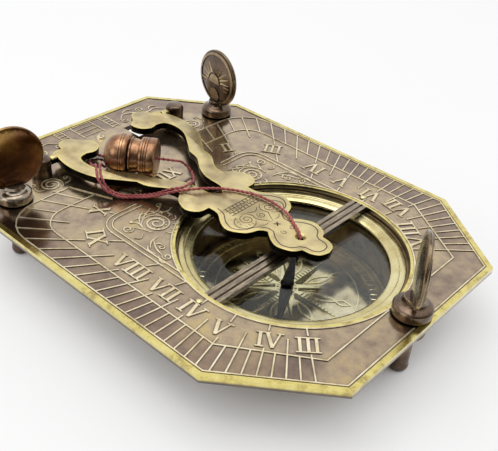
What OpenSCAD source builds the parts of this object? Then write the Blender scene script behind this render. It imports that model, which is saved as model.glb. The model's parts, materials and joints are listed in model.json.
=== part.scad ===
// Pendulum sundial compass: an eight-sided brass dial plate on three levelling
// thumbscrews, with a compass sunk in it, a folding lyre bracket, and a plumb
// bob on a red cord. Millimetres, +Z up, +Y to the noon side of the dial.
// The origin is on the table, under the middle of the plate.

/* [Plate] */
// Width of the plate, east to west
plate_x = 100; // [96:1:104]
// Length of the plate, noon side to south side
plate_y = 130; // [126:1:134]
// Thickness of the plate
plate_t = 1.6; // [1.4:0.1:2.2]
// Height of the plate's top face above the table
stand_h = 17; // [16:0.5:20]
// Cut of each corner along X
corner_x = 19.6; // [17:0.1:22]
// Cut of each corner along Y
corner_y = 24.9; // [22:0.1:27]
// Width of the polished rim
rim_w = 1.4; // [1:0.1:2.4]
// Height of the rim and of the raised dial lines
relief_h = 0.2; // [0.1:0.05:0.3]
// Width of a raised dial line
line_w = 0.35; // [0.3:0.05:0.6]
// Degrees between one quarter hour and the next
quarter_deg = 3.75; // [3.7:0.01:3.8]

/* [Compass] */
// Radius of the round opening in the plate
well_r = 30; // [29.5:0.1:30.4]
// Width of the bridge bar across the opening
bar_w = 4.8; // [3.5:0.1:6]
// Depth of the two grooves along the bridge bar
groove_d = 0.4; // [0.2:0.1:0.6]
// Distance from the edge of the opening to the axis of the south screw
well_to_screw = 5.5; // [5.4:0.1:6]
// Width of the bezel ring
bezel_w = 3.7; // [3.2:0.1:5]
// Depth of the bezel ring's top below the plate's top
bezel_drop = 1.7; // [1.4:0.1:1.9]
// Height of the bezel ring
bezel_h = 1.5; // [1.2:0.1:2]
// Thickness of the glass
glass_t = 1.4; // [1:0.1:1.8]
// Wall of the compass bowl
bowl_wall = 1.2; // [0.8:0.1:1.4]
// Height of the bowl's inside, below the plate
bowl_depth = 12.6; // [11.5:0.1:12.8]
// Width of the bowl's flange
flange_w = 3.5; // [3.2:0.1:4.5]
// Thickness of the bowl's flange
flange_t = 1.2; // [0.8:0.1:1.6]
// Number of screws in the flange
bowl_screw_count = 4; // [3:1:6]
// Radius of a flange screw
bowl_screw_r = 0.8; // [0.6:0.05:0.9]
// Radius of a flange screw's head
bowl_head_r = 1.6; // [1.2:0.1:1.7]
// Height of a flange screw's head
bowl_head_h = 1; // [0.6:0.1:1.4]
// Thickness of the compass card
card_t = 0.3; // [0.2:0.05:0.5]
// Height of the needle's pivot post above the card
pivot_h = 1.6; // [1.4:0.1:2.2]
// Length of the needle
needle_len = 36; // [30:0.5:42]
// Width of the needle at its middle
needle_w = 3; // [2:0.1:4]
// Thickness of the needle
needle_t = 0.4; // [0.3:0.05:0.6]
// Radius of the needle's cap
needle_cap_r = 1.8; // [1.4:0.1:2.2]
// Direction of the needle's tip, from east towards north
needle_deg = 30; // [0:5:355]

/* [Thumbscrews] */
// Distance of the two noon side screws from the plate's sides
screw_from_side = 10.5; // [10:0.1:12]
// Distance of the two noon side screws from the plate's noon edge
screw_from_noon = 24.6; // [24:0.1:26.5]
// Distance of the third screw from the plate's south edge
screw_from_south = 5.1; // [4.8:0.1:5.8]
// Radius of the screw's shank
shank_r = 2.2; // [1.8:0.1:2.6]
// Radius of the collar
collar_r = 4.8; // [4.4:0.1:5]
// Height of the collar
collar_h = 3; // [2.6:0.1:3.6]
// Diameter of the thumb disc
disc_d = 18.2; // [17:0.1:20]
// Thickness of the thumb disc at its middle
disc_t = 2.6; // [2.2:0.1:3.6]
// Thickness of the thumb disc at its edge
disc_edge = 1; // [0.5:0.1:1.4]
// Radius of the bush under the plate
bush_r = 4.2; // [3.6:0.1:4.4]
// Height of the bush
bush_h = 4; // [3:0.5:6]
// Turn of the north east disc, from east towards north
disc_ne_deg = 81; // [0:1:179]
// Turn of the north west disc, from east towards north
disc_nw_deg = 165; // [0:1:179]
// Turn of the south disc, from east towards north
disc_s_deg = 31; // [0:1:179]

/* [Bracket] */
// Thickness of the bracket
bracket_t = 2; // [1.6:0.1:2.2]
// Gap between the plate and the folded bracket
bracket_gap = 2.1; // [2:0.05:2.3]
// Distance of the hinge axis north of the plate's middle
hinge_north = 46.7; // [46.5:0.1:47]
// Distance of each hinge post from the middle line
post_x = 26.2; // [26:0.1:27]
// Radius of a hinge post
post_r = 2.9; // [2.2:0.1:3]
// Height of a hinge post
post_h = 5.4; // [5:0.1:6.5]
// Radius of a hinge pin
pin_r = 0.6; // [0.5:0.05:0.65]
// Distance of the cord's hole south of the plate's middle
cord_hole_south = 26.6; // [26:0.1:27]
// Radius of the cord's hole
cord_hole_r = 0.7; // [0.6:0.05:0.9]

/* [Bob and cord] */
// Radius of the bob
bob_r = 6; // [5:0.1:6.1]
// Length of the bob's body, from its round end to the cap
bob_body_len = 10.4; // [9:0.1:10.6]
// Length of the bob's cap
bob_cap_len = 4.6; // [3.5:0.1:4.8]
// Radius of the bob's cap
bob_cap_r = 5.7; // [5:0.1:5.9]
// Diameter of the cord
cord_d = 0.85; // [0.6:0.05:0.9]

/* [Hidden] */
$fn = 64;
// Running clearance of a pin or shank in its hole
run_gap = 0.05;
// Clearance of a piece that is fixed in its seat
fit_gap = 0.02;
// Play between pieces that lie close to each other
rest_gap = 0.3;
plate_top = stand_h;
plate_low = plate_top - plate_t;

// Screw places and the dial's centre, worked in from the plate's edges
screw_x = plate_x / 2 - screw_from_side;
screw_north = plate_y / 2 - screw_from_noon;
screw_south = plate_y / 2 - screw_from_south;
dial_y = well_r + well_to_screw - screw_south;

// Dial frames: half width, top, corner radius, where the corner cut starts and ends, bottom
outer_x = plate_x / 2 - rim_w - 0.3;
outer_top = screw_north - 4.7;
outer_round = 12;
middle_x = 41;
middle_top = 28.2;
middle_round = 8;
middle_cut_y = -35.6;
middle_low_x = 26.8;
middle_low = -55.9;
inner_x = well_r + 0.4;
inner_top = dial_y + well_r + 11.4;
inner_round = 6;
inner_step = 1.5;
half_hour_in = 5;
well_line_out = 0.9;
band_end_deg = 22.5;

// Where a numeral stands: X, Y, the turn of its reading line, half its length and half
// its height. The hour lines stop short of it.
SEATS = [[-36, -3, -90, 4.2, 2.9], [-36, -15, -90, 3.4, 2.9], [-36.2, -24.4, -90, 3.2, 2.9],
         [-34.2, 12.4, -120, 3.6, 2.9], [-26, 21, -152, 2.6, 2.9],
         [-36, -33, -77, 2.2, 2.9], [-31, -43, -55, 3.2, 2.9], [-26, -50, -48, 2.8, 2.9],
         [25, 22, 152, 2.2, 2.9], [35, 12, 120, 3, 2.9], [35.5, -4, 90, 3.2, 2.9],
         [35.5, -14, 90, 2.4, 2.9], [35.8, -24, 90, 3, 2.9], [36, -33, 77, 3.2, 2.9],
         [27.8, -42.6, 55, 6, 2.9]];

// Compass heights, worked down from the plate
bezel_top = plate_top - bezel_drop;
glass_top = bezel_top - bezel_h;
glass_low = glass_top - glass_t;
bezel_r = well_r - 0.8;
window_r = bezel_r - bezel_w;
bowl_in_r = bezel_r + 0.1;
bowl_low_r = bowl_in_r - 2.4;
bowl_floor = plate_low - bowl_depth;
card_top = bowl_floor + card_t;
card_r = bowl_low_r - 1.6;
flange_r = bowl_in_r + bowl_wall + flange_w;
flange_screw_r = flange_r - flange_w / 2;
pivot_top = card_top + pivot_h;
needle_low = pivot_top - 0.5;

// Thumbscrew heights
collar_gap = relief_h + 0.1;
shank_top = plate_top + collar_h - 1.2;
disc_low = plate_top + collar_gap + collar_h + 0.4;

// Bracket heights
bracket_low = plate_top + bracket_gap;
bracket_top = bracket_low + bracket_t;
hinge_z = bracket_low + bracket_t / 2;
hole_y = -cord_hole_south;
knuckle_r = bracket_t / 2 + 0.25;
knuckle_out = 23;
pin_in = 18.6;
lobe_x = 13.9;
slot_half = 4.4;
slot_south = 1.4;
slot_north = 6;

// The bob lies in the bracket's opening, its cap towards the south east
bob_cap_x = -3;
bob_cap_y = 23.4;
bob_deg = -55;
bob_z = plate_top + bob_r + rest_gap;

// Right half of the bracket's outline, from its south tip round the horn to the
// bottom of the opening. Each list is one smooth stretch between two corners.
TIP = [[0, -35.6], [2.5, -34.8], [3.8, -32.8], [4.1, -30.4]];
LEAF = [[4.1, -30.4], [6.4, -28.9], [7.7, -25.2], [6.6, -22.2], [4.4, -19.4]];
BODY = [[4.4, -19.4], [5.6, -17.6], [9, -16.2], [11.6, -12.2], [10.6, -8.8], [8, -5.2], [7.7, -1.8]];
WING = [[7.7, -1.8], [11, -1.4], [13, 1.8], [11.4, 6], [8.4, 8.4]];
ARM = [[8.4, 8.4], [9, 12], [12.4, 16.6], [13.3, 20.6]];
SHOULDER = [[13.3, 20.6], [16.6, 24.8], [20.2, 29.8], [22, 36.6], [22, 42], [21.2, 45.6]];
EAR = [[21.2, 45.6], [21.6, 46.8], [21, 48], [19.6, 48.7], [17.6, 48.6]];
LOBE = [[17.6, 48.6], [17, 50.6], [15.2, 52.3], [12.8, 52.3], [11.2, 50.6], [10.1, 48.8], [8.4, 47.6]];
BULB = [[8.4, 47.6], [7.4, 46.2], [8.2, 43], [10.8, 41.2], [13.6, 41.8]];
INSIDE = [[13.6, 41.8], [16.4, 41], [17.4, 37.4], [16.4, 32.4], [13, 27.4], [9.6, 23]];
THROAT = [[9.6, 23], [8.4, 18.6], [5, 14.2], [2.9, 9.4], [2.4, 3.4], [0, 0.8]];
BRACKET_HALF = [TIP, LEAF, BODY, WING, ARM, SHOULDER, EAR, LOBE, BULB, INSIDE, THROAT];

// The cord's route, X, Y and height above the plate. It leaves its knot under
// the bracket, crosses the bracket, runs doubled over the west arm to a small
// loop, comes back beside itself and ends in the bob's cap.
CORD = [[0, -26.6, 2.2], [0, -26.6, 2.9], [0.2, -26.3, 3.85], [0.8, -25.3, 4.64], [1.9, -23.5, 4.7],
    [5.3, -17.2, 4.65], [5.9, -8, 4.65], [1.4, 1.3, 4.65], [-7.3, 7.9, 4.8], [-10.3, 10.1, 4.35],
    [-12.5, 13.8, 2.3], [-15.3, 18.5, 0.85], [-18.6, 21.5, 1], [-21.1, 24.4, 2.9], [-20.8, 27.7, 4.6],
    [-18.5, 31.3, 4.8], [-16.1, 34.6, 4.2], [-14.1, 38.8, 1.4], [-12.7, 41.8, 0.75],
    [-11.9, 43.6, 0.75], [-10.1, 44.4, 0.75], [-8.3, 43.6, 0.75], [-7.5, 41.8, 0.75], [-8.5, 38.8, 0.75],
    [-11.6, 36.2, 1.3], [-15.1, 33.6, 4.5], [-18.2, 30.1, 4.8], [-19.8, 27.3, 4.6], [-20.1, 24.8, 2.9],
    [-17.8, 22.3, 1], [-14.5, 19.1, 0.85], [-11.7, 14.6, 2.3], [-9.2, 11.1, 4.4], [-6.7, 9.1, 4.85]];
CORD_BOB = [[-2.6, 9.8, 4.45], [0.8, 12.6, 1.8], [3.7, 15.1, 0.85], [5.3, 17.9, 1.3],
    [4.2, 20, 3.5], [0.4, 20.2, 5.7], [-3, 23.4, 6.3]];
cord_ring_step = 2;
cord_sides = 8;

// Smooth curve through a list of points, with a number of steps in each span
function curve_at(a, b, c, d, t) =
    0.5 * (2 * b + (c - a) * t + (2 * a - 5 * b + 4 * c - d) * t * t
           + (3 * b - a - 3 * c + d) * t * t * t);
function smooth(pts, steps) =
    let (last = len(pts) - 1)
    concat([for (i = [0 : last - 1], k = [0 : steps - 1])
                curve_at(pts[max(i - 1, 0)], pts[i], pts[i + 1], pts[min(i + 2, last)], k / steps)],
           [pts[last]]);
// The cord's curve: it leaves each point in the direction that its two neighbours give,
// the nearer one counting more, so that unequal steps stay round
function slope(a, b, c) =
    let (p = norm(b - a), q = norm(c - b))
    p < 0.001 ? (c - b) / q : q < 0.001 ? (b - a) / p
    : (b - a) / p - (c - a) / (p + q) + (c - b) / q;
function bend(b, c, m, n, t) =
    b * (2 * t * t * t - 3 * t * t + 1) + m * (t * t * t - 2 * t * t + t)
    + c * (3 * t * t - 2 * t * t * t) + n * (t * t * t - t * t);
function rounded(pts, steps) =
    let (last = len(pts) - 1)
    concat([for (i = [0 : last - 1])
                let (d = norm(pts[i + 1] - pts[i]), m = slope(pts[max(i - 1, 0)], pts[i], pts[i + 1]) * d,
                     n = slope(pts[i], pts[i + 1], pts[min(i + 2, last)]) * d)
                for (k = [0 : steps - 1]) bend(pts[i], pts[i + 1], m, n, k / steps)],
           [pts[last]]);
function reversed(list) = [for (i = [len(list) - 1 : -1 : 0]) list[i]];
function without_last(list) = [for (i = [0 : len(list) - 2]) list[i]];
function joined(lists) = [for (l = lists) for (p = without_last(l)) p];

// Corners of the plate's outline, drawn in by w on every side
function plate_corners(w) =
    let (x = plate_x / 2, y = plate_y / 2, n = norm([corner_x, corner_y]),
         nx = corner_y / n, ny = corner_x / n, d = nx * x + ny * (y - corner_y) - w,
         cy = (d - nx * (x - w)) / ny, cx = (d - ny * (y - w)) / nx)
    [[x - w, -cy], [x - w, cy], [cx, y - w], [-cx, y - w],
     [w - x, cy], [w - x, -cy], [-cx, w - y], [cx, w - y]];

// Corners of a dial frame, grown by g: round at the noon side, cut at the south side
function frame_corners(x, top, r, cut_y, low_x, low, g) =
    concat([for (a = [0 : 15 : 90]) [x - r + (r + g) * cos(a), top - r + (r + g) * sin(a)]],
           [for (a = [90 : 15 : 180]) [r - x + (r + g) * cos(a), top - r + (r + g) * sin(a)]],
           [[-x - g, cut_y - g / 2], [-low_x - g / 2, low - g], [low_x + g / 2, low - g],
            [x + g, cut_y - g / 2]]);
function outer_frame(g) =
    let (rim = plate_corners(rim_w + 0.3 - g))
    concat([for (a = [0 : 15 : 90]) [outer_x - outer_round + (outer_round + g) * cos(a),
                                     outer_top - outer_round + (outer_round + g) * sin(a)]],
           [for (a = [90 : 15 : 180]) [outer_round - outer_x + (outer_round + g) * cos(a),
                                       outer_top - outer_round + (outer_round + g) * sin(a)]],
           [[-outer_x - g, rim[5][1]], rim[6], rim[7], [outer_x + g, rim[0][1]]]);
function middle_frame(g) =
    frame_corners(middle_x, middle_top, middle_round, middle_cut_y, middle_low_x, middle_low, g);
function inner_frame(g) =
    concat([for (a = [0 : 15 : 90]) [inner_x - inner_round + (inner_round + g) * cos(a),
                                     inner_top - inner_round + (inner_round + g) * sin(a)]],
           [for (a = [90 : 15 : 180]) [inner_round - inner_x + (inner_round + g) * cos(a),
                                       inner_top - inner_round + (inner_round + g) * sin(a)]],
           [[-inner_x - g, dial_y - 3 - g], [inner_x + g, dial_y - 3 - g]]);

// Distance from the dial's centre, in direction a, to a frame's edge
function edge_hit(a, p, q) =
    let (d = [cos(a), sin(a)], c = [0, dial_y], e = q - p, w = p - c, k = d[0] * e[1] - d[1] * e[0])
    abs(k) < 0.000001 ? 1000 :
    let (t = (w[0] * e[1] - w[1] * e[0]) / k, s = (w[0] * d[1] - w[1] * d[0]) / k)
    t > 0 && s >= -0.000001 && s <= 1.000001 ? t : 1000;
function reach(a, corners) =
    min([for (i = [0 : len(corners) - 1]) edge_hit(a, corners[i], corners[(i + 1) % len(corners)])]);

// Rings of the cord's tube, an equal step apart along its smooth route
function walk(pts) = [for (i = 0, s = 0; i < len(pts);
                           s = s + norm(pts[min(i + 1, len(pts) - 1)] - pts[i]), i = i + 1) s];
function place_at(pts, run, s, i) =
    i >= len(pts) - 2 || run[i + 1] >= s
    ? let (t = (s - run[i]) / max(run[i + 1] - run[i], 0.0001)) pts[i] + (pts[i + 1] - pts[i]) * min(t, 1)
    : place_at(pts, run, s, i + 1);
function unit(v) = v / norm(v);
// Each ring's side vector is the last one, turned square to the new direction
function sides_of(dirs) = [for (i = 0, u = unit(cross(dirs[0], [0.31, 0.95, 0.1])); i < len(dirs);
    i = i + 1, u = unit(u - dirs[min(i, len(dirs) - 1)] * (u * dirs[min(i, len(dirs) - 1)]))) u];

module bar_between(p, q, w, h) {
    d = q - p;
    translate([p[0], p[1], 0]) rotate([0, 0, atan2(d[1], d[0])])
        translate([0, -w / 2, 0]) cube([norm(d), w, h]);
}

module at_screws() {
    for (p = [[screw_x, screw_north], [-screw_x, screw_north], [0, -screw_south]])
        translate([p[0], p[1], 0]) children();
}

module dial_plate() {
    color([0.60, 0.52, 0.42]) difference() {
        union() {
            translate([0, 0, plate_low]) linear_extrude(plate_t) polygon(plate_corners(0));
            translate([0, 0, plate_top]) linear_extrude(relief_h) difference() {
                polygon(plate_corners(0));
                polygon(plate_corners(rim_w));
            }
        }
        for (side = [-1, 1]) intersection() {
            translate([0, dial_y, plate_low - 1]) cylinder(r = well_r, h = plate_t + 3);
            translate([-well_r - 1, dial_y + (side > 0 ? bar_w / 2 : -well_r - 1), plate_low - 1])
                cube([2 * well_r + 2, well_r + 1 - bar_w / 2, plate_t + 3]);
        }
        translate([0, dial_y, bezel_top - 3]) cylinder(r = well_r, h = 3 + rest_gap);
        for (y = [-1, 1]) translate([-well_r, dial_y + y * bar_w / 5 - 0.3, plate_top - groove_d])
            cube([2 * well_r, 0.6, groove_d + 1]);
        at_screws() translate([0, 0, plate_low - 1]) cylinder(r = shank_r + run_gap, h = plate_t + 3);
        for (s = [-1, 1]) {
            translate([s * post_x, hinge_north, plate_low - 1])
                cylinder(r = post_r / 2 + fit_gap, h = plate_t + 3);
            translate([s * lobe_x - slot_half, hinge_north - slot_south, plate_low - 1])
                cube([2 * slot_half, slot_south + slot_north, plate_t + 3]);
        }
        at_bowl_screws() translate([0, 0, plate_low - 1]) cylinder(r = bowl_screw_r + fit_gap, h = 1 + plate_t * 0.85);
    }
}

// A line as wide as line_w along the inside of a closed run of corners
module frame_line(outside, inside) {
    difference() {
        polygon(outside);
        polygon(inside);
    }
}

module hour_lines() {
    color([0.86, 0.80, 0.64]) translate([0, 0, plate_top]) linear_extrude(relief_h) {
        translate([0, dial_y]) difference() {
            circle(r = well_r + well_line_out + line_w);
            circle(r = well_r + well_line_out);
        }
        difference() {
        union() {
            frame_line(outer_frame(0), outer_frame(-line_w));
            frame_line(middle_frame(0), middle_frame(-line_w));
            frame_line(inner_frame(0), inner_frame(-line_w));
            frame_line(inner_frame(-inner_step), inner_frame(-inner_step - line_w));
            for (i = [-36 : 36]) if (abs(i) * quarter_deg >= band_end_deg - 0.01) {
                a = 90 + i * quarter_deg;
                r1 = reach(a, outer_frame(-line_w / 2));
                r0 = i % 4 == 0 ? reach(a, inner_frame(-line_w / 2))
                   : i % 2 == 0 ? reach(a, middle_frame(-half_hour_in))
                   : reach(a, middle_frame(-line_w / 2));
                translate([0, dial_y]) rotate(a) translate([r0, -line_w / 2]) square([r1 - r0, line_w]);
            }
        }
        for (p = SEATS) translate([p[0], p[1]]) rotate([0, 0, p[2]])
            translate([-p[3], -p[4]]) square([2 * p[3], 2 * p[4]]);
        translate([0, dial_y]) circle(r = well_r + well_line_out);
        translate([0, -screw_south]) circle(r = collar_r + rest_gap);
        translate([0, dial_y]) polygon([[0, 0], 90 * [tan(band_end_deg - 0.3), 1], 90 * [-tan(band_end_deg - 0.3), 1]]);
        }
    }
}

module plumb_index() {
    color([0.83, 0.72, 0.36]) translate([0, hinge_north + 5.8, plate_top]) {
        cylinder(r1 = 1.4, r2 = 1.1, h = 0.5);
        translate([0, 0, 0.5]) cylinder(r1 = 0.8, r2 = 0.15, h = 0.9);
    }
}

module hinge_post(s) {
    color([0.34, 0.25, 0.16]) difference() {
        translate([s * post_x, hinge_north, plate_top]) {
            rotate_extrude() polygon(concat(
                [[0, -plate_t], [post_r / 2, -plate_t], [post_r / 2, 0], [post_r, 0]],
                [for (a = [0 : 15 : 90]) [post_r - 0.9 + 0.9 * cos(a), post_h - 0.9 + 0.9 * sin(a)]],
                [[0, post_h + 0.3]]));
        }
        translate([s * post_x, hinge_north, hinge_z]) rotate([0, -s * 90, 0])
            cylinder(r = pin_r + fit_gap, h = post_r + 1);
    }
}

module hinge_pin(s) {
    color([0.85, 0.76, 0.5]) translate([s * post_x, hinge_north, hinge_z]) rotate([0, -s * 90, 0])
        cylinder(r = pin_r, h = post_x - pin_in);
}

module foot_bushes() {
    color([0.55, 0.45, 0.28]) at_screws() translate([0, 0, plate_low - bush_h]) difference() {
        rotate_extrude() polygon([[0, 0], [bush_r - 0.6, 0], [bush_r, 0.6], [bush_r, bush_h], [0, bush_h]]);
        translate([0, 0, -1]) cylinder(r = shank_r + run_gap, h = bush_h + 2);
    }
}

module at_bowl_screws() {
    for (i = [0 : bowl_screw_count - 1]) translate([0, dial_y, 0])
        rotate([0, 0, 45 + i * 360 / bowl_screw_count]) translate([flange_screw_r, 0, 0]) children();
}

module compass_bowl() {
    color([0.72, 0.60, 0.34]) difference() {
        translate([0, dial_y, 0]) rotate_extrude() polygon(concat(
            [[0, bowl_floor - bowl_wall], [bowl_low_r - 3 + bowl_wall, bowl_floor - bowl_wall]],
            [for (a = [-75 : 15 : 0]) [bowl_low_r - 3 + bowl_wall + 3 * cos(a), bowl_floor - bowl_wall + 3 + 3 * sin(a)]],
            [[bowl_in_r + bowl_wall, glass_low - 2], [bowl_in_r + bowl_wall, plate_low - flange_t],
             [flange_r, plate_low - flange_t], [flange_r, plate_low], [bowl_in_r, plate_low],
             [bowl_in_r, glass_low], [bowl_low_r, glass_low], [bowl_low_r, bowl_floor], [0, bowl_floor]]));
        at_bowl_screws() translate([0, 0, plate_low - flange_t - 1])
            cylinder(r = bowl_screw_r + fit_gap, h = flange_t + 2);
        translate([0, -screw_south, plate_low - flange_t - 1])
            cylinder(r = bush_r + rest_gap, h = flange_t + 2);
    }
}

module bowl_screws() {
    color([0.8, 0.7, 0.42]) at_bowl_screws() difference() {
        union() {
            translate([0, 0, plate_low - flange_t - bowl_head_h]) rotate_extrude()
                polygon([[0, 0], [bowl_head_r * 0.7, 0], [bowl_head_r, bowl_head_h / 2],
                         [bowl_head_r, bowl_head_h], [0, bowl_head_h]]);
            translate([0, 0, plate_low - flange_t - bowl_head_h / 2])
                cylinder(r = bowl_screw_r, h = bowl_head_h / 2 + flange_t + plate_t * 0.75);
        }
        translate([-2 * bowl_head_r, -bowl_screw_r / 4, plate_low - flange_t - bowl_head_h - 0.1])
            cube([4 * bowl_head_r, bowl_screw_r / 2, bowl_head_h / 2]);
    }
}

module rose_star(r, waist) {
    polygon([for (i = [0 : 15]) let (a = i * 22.5, q = i % 2 == 1 ? waist : i % 4 == 0 ? r : r * 0.8)
             [q * cos(a), q * sin(a)]]);
}

module compass_card() {
    color([0.55, 0.53, 0.45]) translate([0, dial_y, bowl_floor]) difference() {
        union() {
            cylinder(r = card_r, h = card_t);
            linear_extrude(card_t + 0.15) rose_star(17.5, 4.2);
        }
        translate([0, 0, -1]) cylinder(r = 0.8, h = 3);
    }
}

module needle_pivot() {
    color([0.8, 0.7, 0.42]) translate([0, dial_y, 0]) rotate_extrude()
        polygon([[0, bowl_floor], [0.7, bowl_floor], [0.7, card_top + 0.2], [1.7, card_top + 0.2],
                 [1.4, card_top + 0.7], [0.55, card_top + 0.7], [0.55, pivot_top - 0.4],
                 [0.08, pivot_top], [0, pivot_top]]);
}

module compass_glass() {
    color([0.8, 0.86, 0.88, 0.35]) translate([0, dial_y, glass_low])
        cylinder(r = bowl_in_r - 0.15, h = glass_t);
}

module bezel_ring() {
    color([0.86, 0.76, 0.45]) translate([0, dial_y, glass_top]) rotate_extrude()
        polygon([[window_r, 0], [bezel_r, 0], [bezel_r, bezel_h], [bezel_r - 1.4, bezel_h],
                 [bezel_r - 1.7, bezel_h - 0.4], [window_r + 1, bezel_h - 0.4], [window_r, bezel_h - 0.9]]);
}

module needle() {
    half = needle_len / 2;
    color([0.07, 0.07, 0.08]) translate([0, dial_y, needle_low]) rotate([0, 0, needle_deg]) difference() {
        linear_extrude(needle_t) polygon([[half, 0], [half - 6, needle_w * 0.45], [half - 5, needle_w * 0.15],
            [3, needle_w / 2], [-3, needle_w / 2], [5 - half, needle_w * 0.15], [4 - half, needle_w * 0.45],
            [-half, 0], [4 - half, -needle_w * 0.45], [5 - half, -needle_w * 0.15],
            [-3, -needle_w / 2], [3, -needle_w / 2], [half - 5, -needle_w * 0.15], [half - 6, -needle_w * 0.45]]);
        translate([0, 0, -1]) cylinder(r = 1 + fit_gap, h = needle_t + 2);
    }
}

module needle_cap() {
    color([0.07, 0.07, 0.08]) translate([0, dial_y, needle_low]) difference() {
        rotate_extrude() polygon([[0, 0], [1, 0], [1, needle_t], [needle_cap_r, needle_t],
            [needle_cap_r, needle_t + 0.6], [needle_cap_r - 0.4, needle_t + 1], [0, needle_t + 1.2]]);
        translate([0, 0, -1]) cylinder(r = 0.55 + run_gap, h = pivot_top - needle_low + 1 + run_gap);
    }
}

module bracket() {
    right = joined([for (part = BRACKET_HALF) smooth(part, 3)]);
    left = [for (p = reversed(right)) [-p[0], p[1]]];
    color([0.84, 0.76, 0.48]) difference() {
        union() {
            translate([0, 0, bracket_low]) linear_extrude(bracket_t)
                polygon(concat(right, [[0, 0.8]], without_last(left)));
            for (s = [-1, 1]) translate([s * (knuckle_out - 2.6), hinge_north, hinge_z])
                rotate([0, s * 90, 0]) cylinder(r = knuckle_r, h = 2.6);
        }
        for (s = [-1, 1]) translate([s * (pin_in - 0.6), hinge_north, hinge_z]) rotate([0, s * 90, 0])
            cylinder(r = pin_r + run_gap, h = 8);
        translate([0, hole_y, bracket_low - 1]) cylinder(r = cord_hole_r, h = bracket_t + 2);
        translate([0, hole_y, bracket_top - 0.7]) cylinder(r1 = cord_hole_r, r2 = 1.5, h = 0.71);
    }
}

module cord_knot() {
    color([0.45, 0.1, 0.1]) translate([0, hole_y, plate_top + 0.6]) rotate_extrude()
        polygon([[0, 0], [0.6, 0], [1, 0.4], [1.1, 0.8], [0.9, 1.2], [0.5, 1.45], [0, 1.45]]);
}

module cord() {
    fine = rounded(concat(CORD, CORD_BOB), 10);
    run = walk(fine);
    count = round(run[len(run) - 1] / cord_ring_step);
    rings = [for (i = [0 : count]) place_at(fine, run, i * run[len(run) - 1] / count, 0)];
    dirs = [for (i = [0 : count]) unit(rings[min(i + 1, count)] - rings[max(i - 1, 0)])];
    side = sides_of(dirs);
    points = [for (i = [0 : count], k = [0 : cord_sides - 1])
        let (v = unit(side[i] - dirs[i] * (side[i] * dirs[i])), w = cross(dirs[i], v), a = k * 360 / cord_sides)
        rings[i] + (v * cos(a) + w * sin(a)) * cord_d / 2];
    faces = concat(
        [[for (k = [0 : cord_sides - 1]) k]],
        [for (i = [0 : count - 1], k = [0 : cord_sides - 1])
            let (n = (k + 1) % cord_sides, b = i * cord_sides, t = b + cord_sides) [b + k, t + k, t + n]],
        [for (i = [0 : count - 1], k = [0 : cord_sides - 1])
            let (n = (k + 1) % cord_sides, b = i * cord_sides, t = b + cord_sides) [b + k, t + n, b + n]],
        [[for (k = [cord_sides - 1 : -1 : 0]) count * cord_sides + k]]);
    echo(cord_length = run[len(run) - 1], rings = count + 1);
    color([0.5, 0.12, 0.13]) translate([0, 0, plate_top]) polyhedron(points, faces);
}

// Places a turned shape, drawn along +Z from the bob's round end, where the bob lies
module lay_bob() {
    translate([bob_cap_x, bob_cap_y, bob_z]) rotate([0, 90, bob_deg])
        translate([0, 0, -bob_body_len - bob_cap_len]) children();
}

module bob_body() {
    color([0.62, 0.38, 0.24]) lay_bob() rotate_extrude()
        polygon(concat([[0, 0]],
            [for (a = [-72 : 12 : 0]) [1.6 + (bob_r - 1.6) * cos(a), 4.4 + 4.4 * sin(a)]],
            [[bob_r, 6.4], [bob_r - 0.5, 7.2], [bob_r - 0.9, 7.3], [bob_r - 0.5, 7.6],
             [bob_r - 0.9, 8], [bob_cap_r - 1.1, bob_body_len], [0, bob_body_len]]));
}

module bob_cap() {
    color([0.66, 0.43, 0.28]) lay_bob() translate([0, 0, bob_body_len]) difference() {
        rotate_extrude() polygon([[0, 0], [bob_cap_r - 0.3, 0], [bob_cap_r, 0.3], [bob_cap_r, bob_cap_len - 0.4],
            [bob_cap_r - 0.4, bob_cap_len], [0, bob_cap_len]]);
        translate([0, 0, bob_cap_len]) cylinder(r = cord_d / 2 + 0.15, h = 2, center = true);
    }
}

module foot_screw(x, y) {
    color([0.36, 0.27, 0.17]) translate([x, y, 0]) rotate_extrude()
        polygon(concat([[0, 0], [1, 0]],
            [for (a = [-60 : 20 : 0]) [shank_r - 0.7 + 0.9 * cos(a), 1.4 + 1.5 * sin(a)]],
            [[shank_r, 2.4], [shank_r, shank_top], [0, shank_top]]));
}

// The thumb disc's outline as a lens on edge, thicker by grow on every side
module lens(x, y, turn, grow) {
    r = disc_d / 2 + grow;
    half = disc_t / 2 + grow;
    edge = disc_edge / 2 + grow;
    translate([x, y, disc_low + disc_d / 2]) rotate([0, 0, turn]) rotate([90, 0, 0]) rotate_extrude($fn = 96)
        polygon(concat([[0, -half], [r * 0.3, -half]],
            [for (t = [0.25 : 0.25 : 1]) [r * (0.3 + 0.68 * t), -edge - (half - edge) * (1 - t * t)]],
            [[r, -edge / 2], [r, edge / 2]],
            [for (t = [1 : -0.25 : 0.25]) [r * (0.3 + 0.68 * t), edge + (half - edge) * (1 - t * t)]],
            [[r * 0.3, half], [0, half]]));
}

module collar(x, y, turn) {
    color([0.33, 0.25, 0.17]) difference() {
        translate([x, y, plate_top + collar_gap]) rotate_extrude() polygon([[0, 0], [collar_r - 0.3, 0],
            [collar_r, 0.3], [collar_r, collar_h - 0.8], [collar_r - 0.4, collar_h - 0.3],
            [collar_r - 1, collar_h], [3.2, collar_h + 0.2], [2.8, collar_h + 0.7], [2.6, collar_h + 1.8],
            [0, collar_h + 1.8]]);
        translate([x, y, plate_top - 1]) cylinder(r = shank_r + run_gap, h = collar_gap + collar_h);
        lens(x, y, turn, fit_gap);
    }
}

module thumb_disc(x, y, turn) {
    color([0.44, 0.34, 0.22]) lens(x, y, turn, 0);
}

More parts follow.
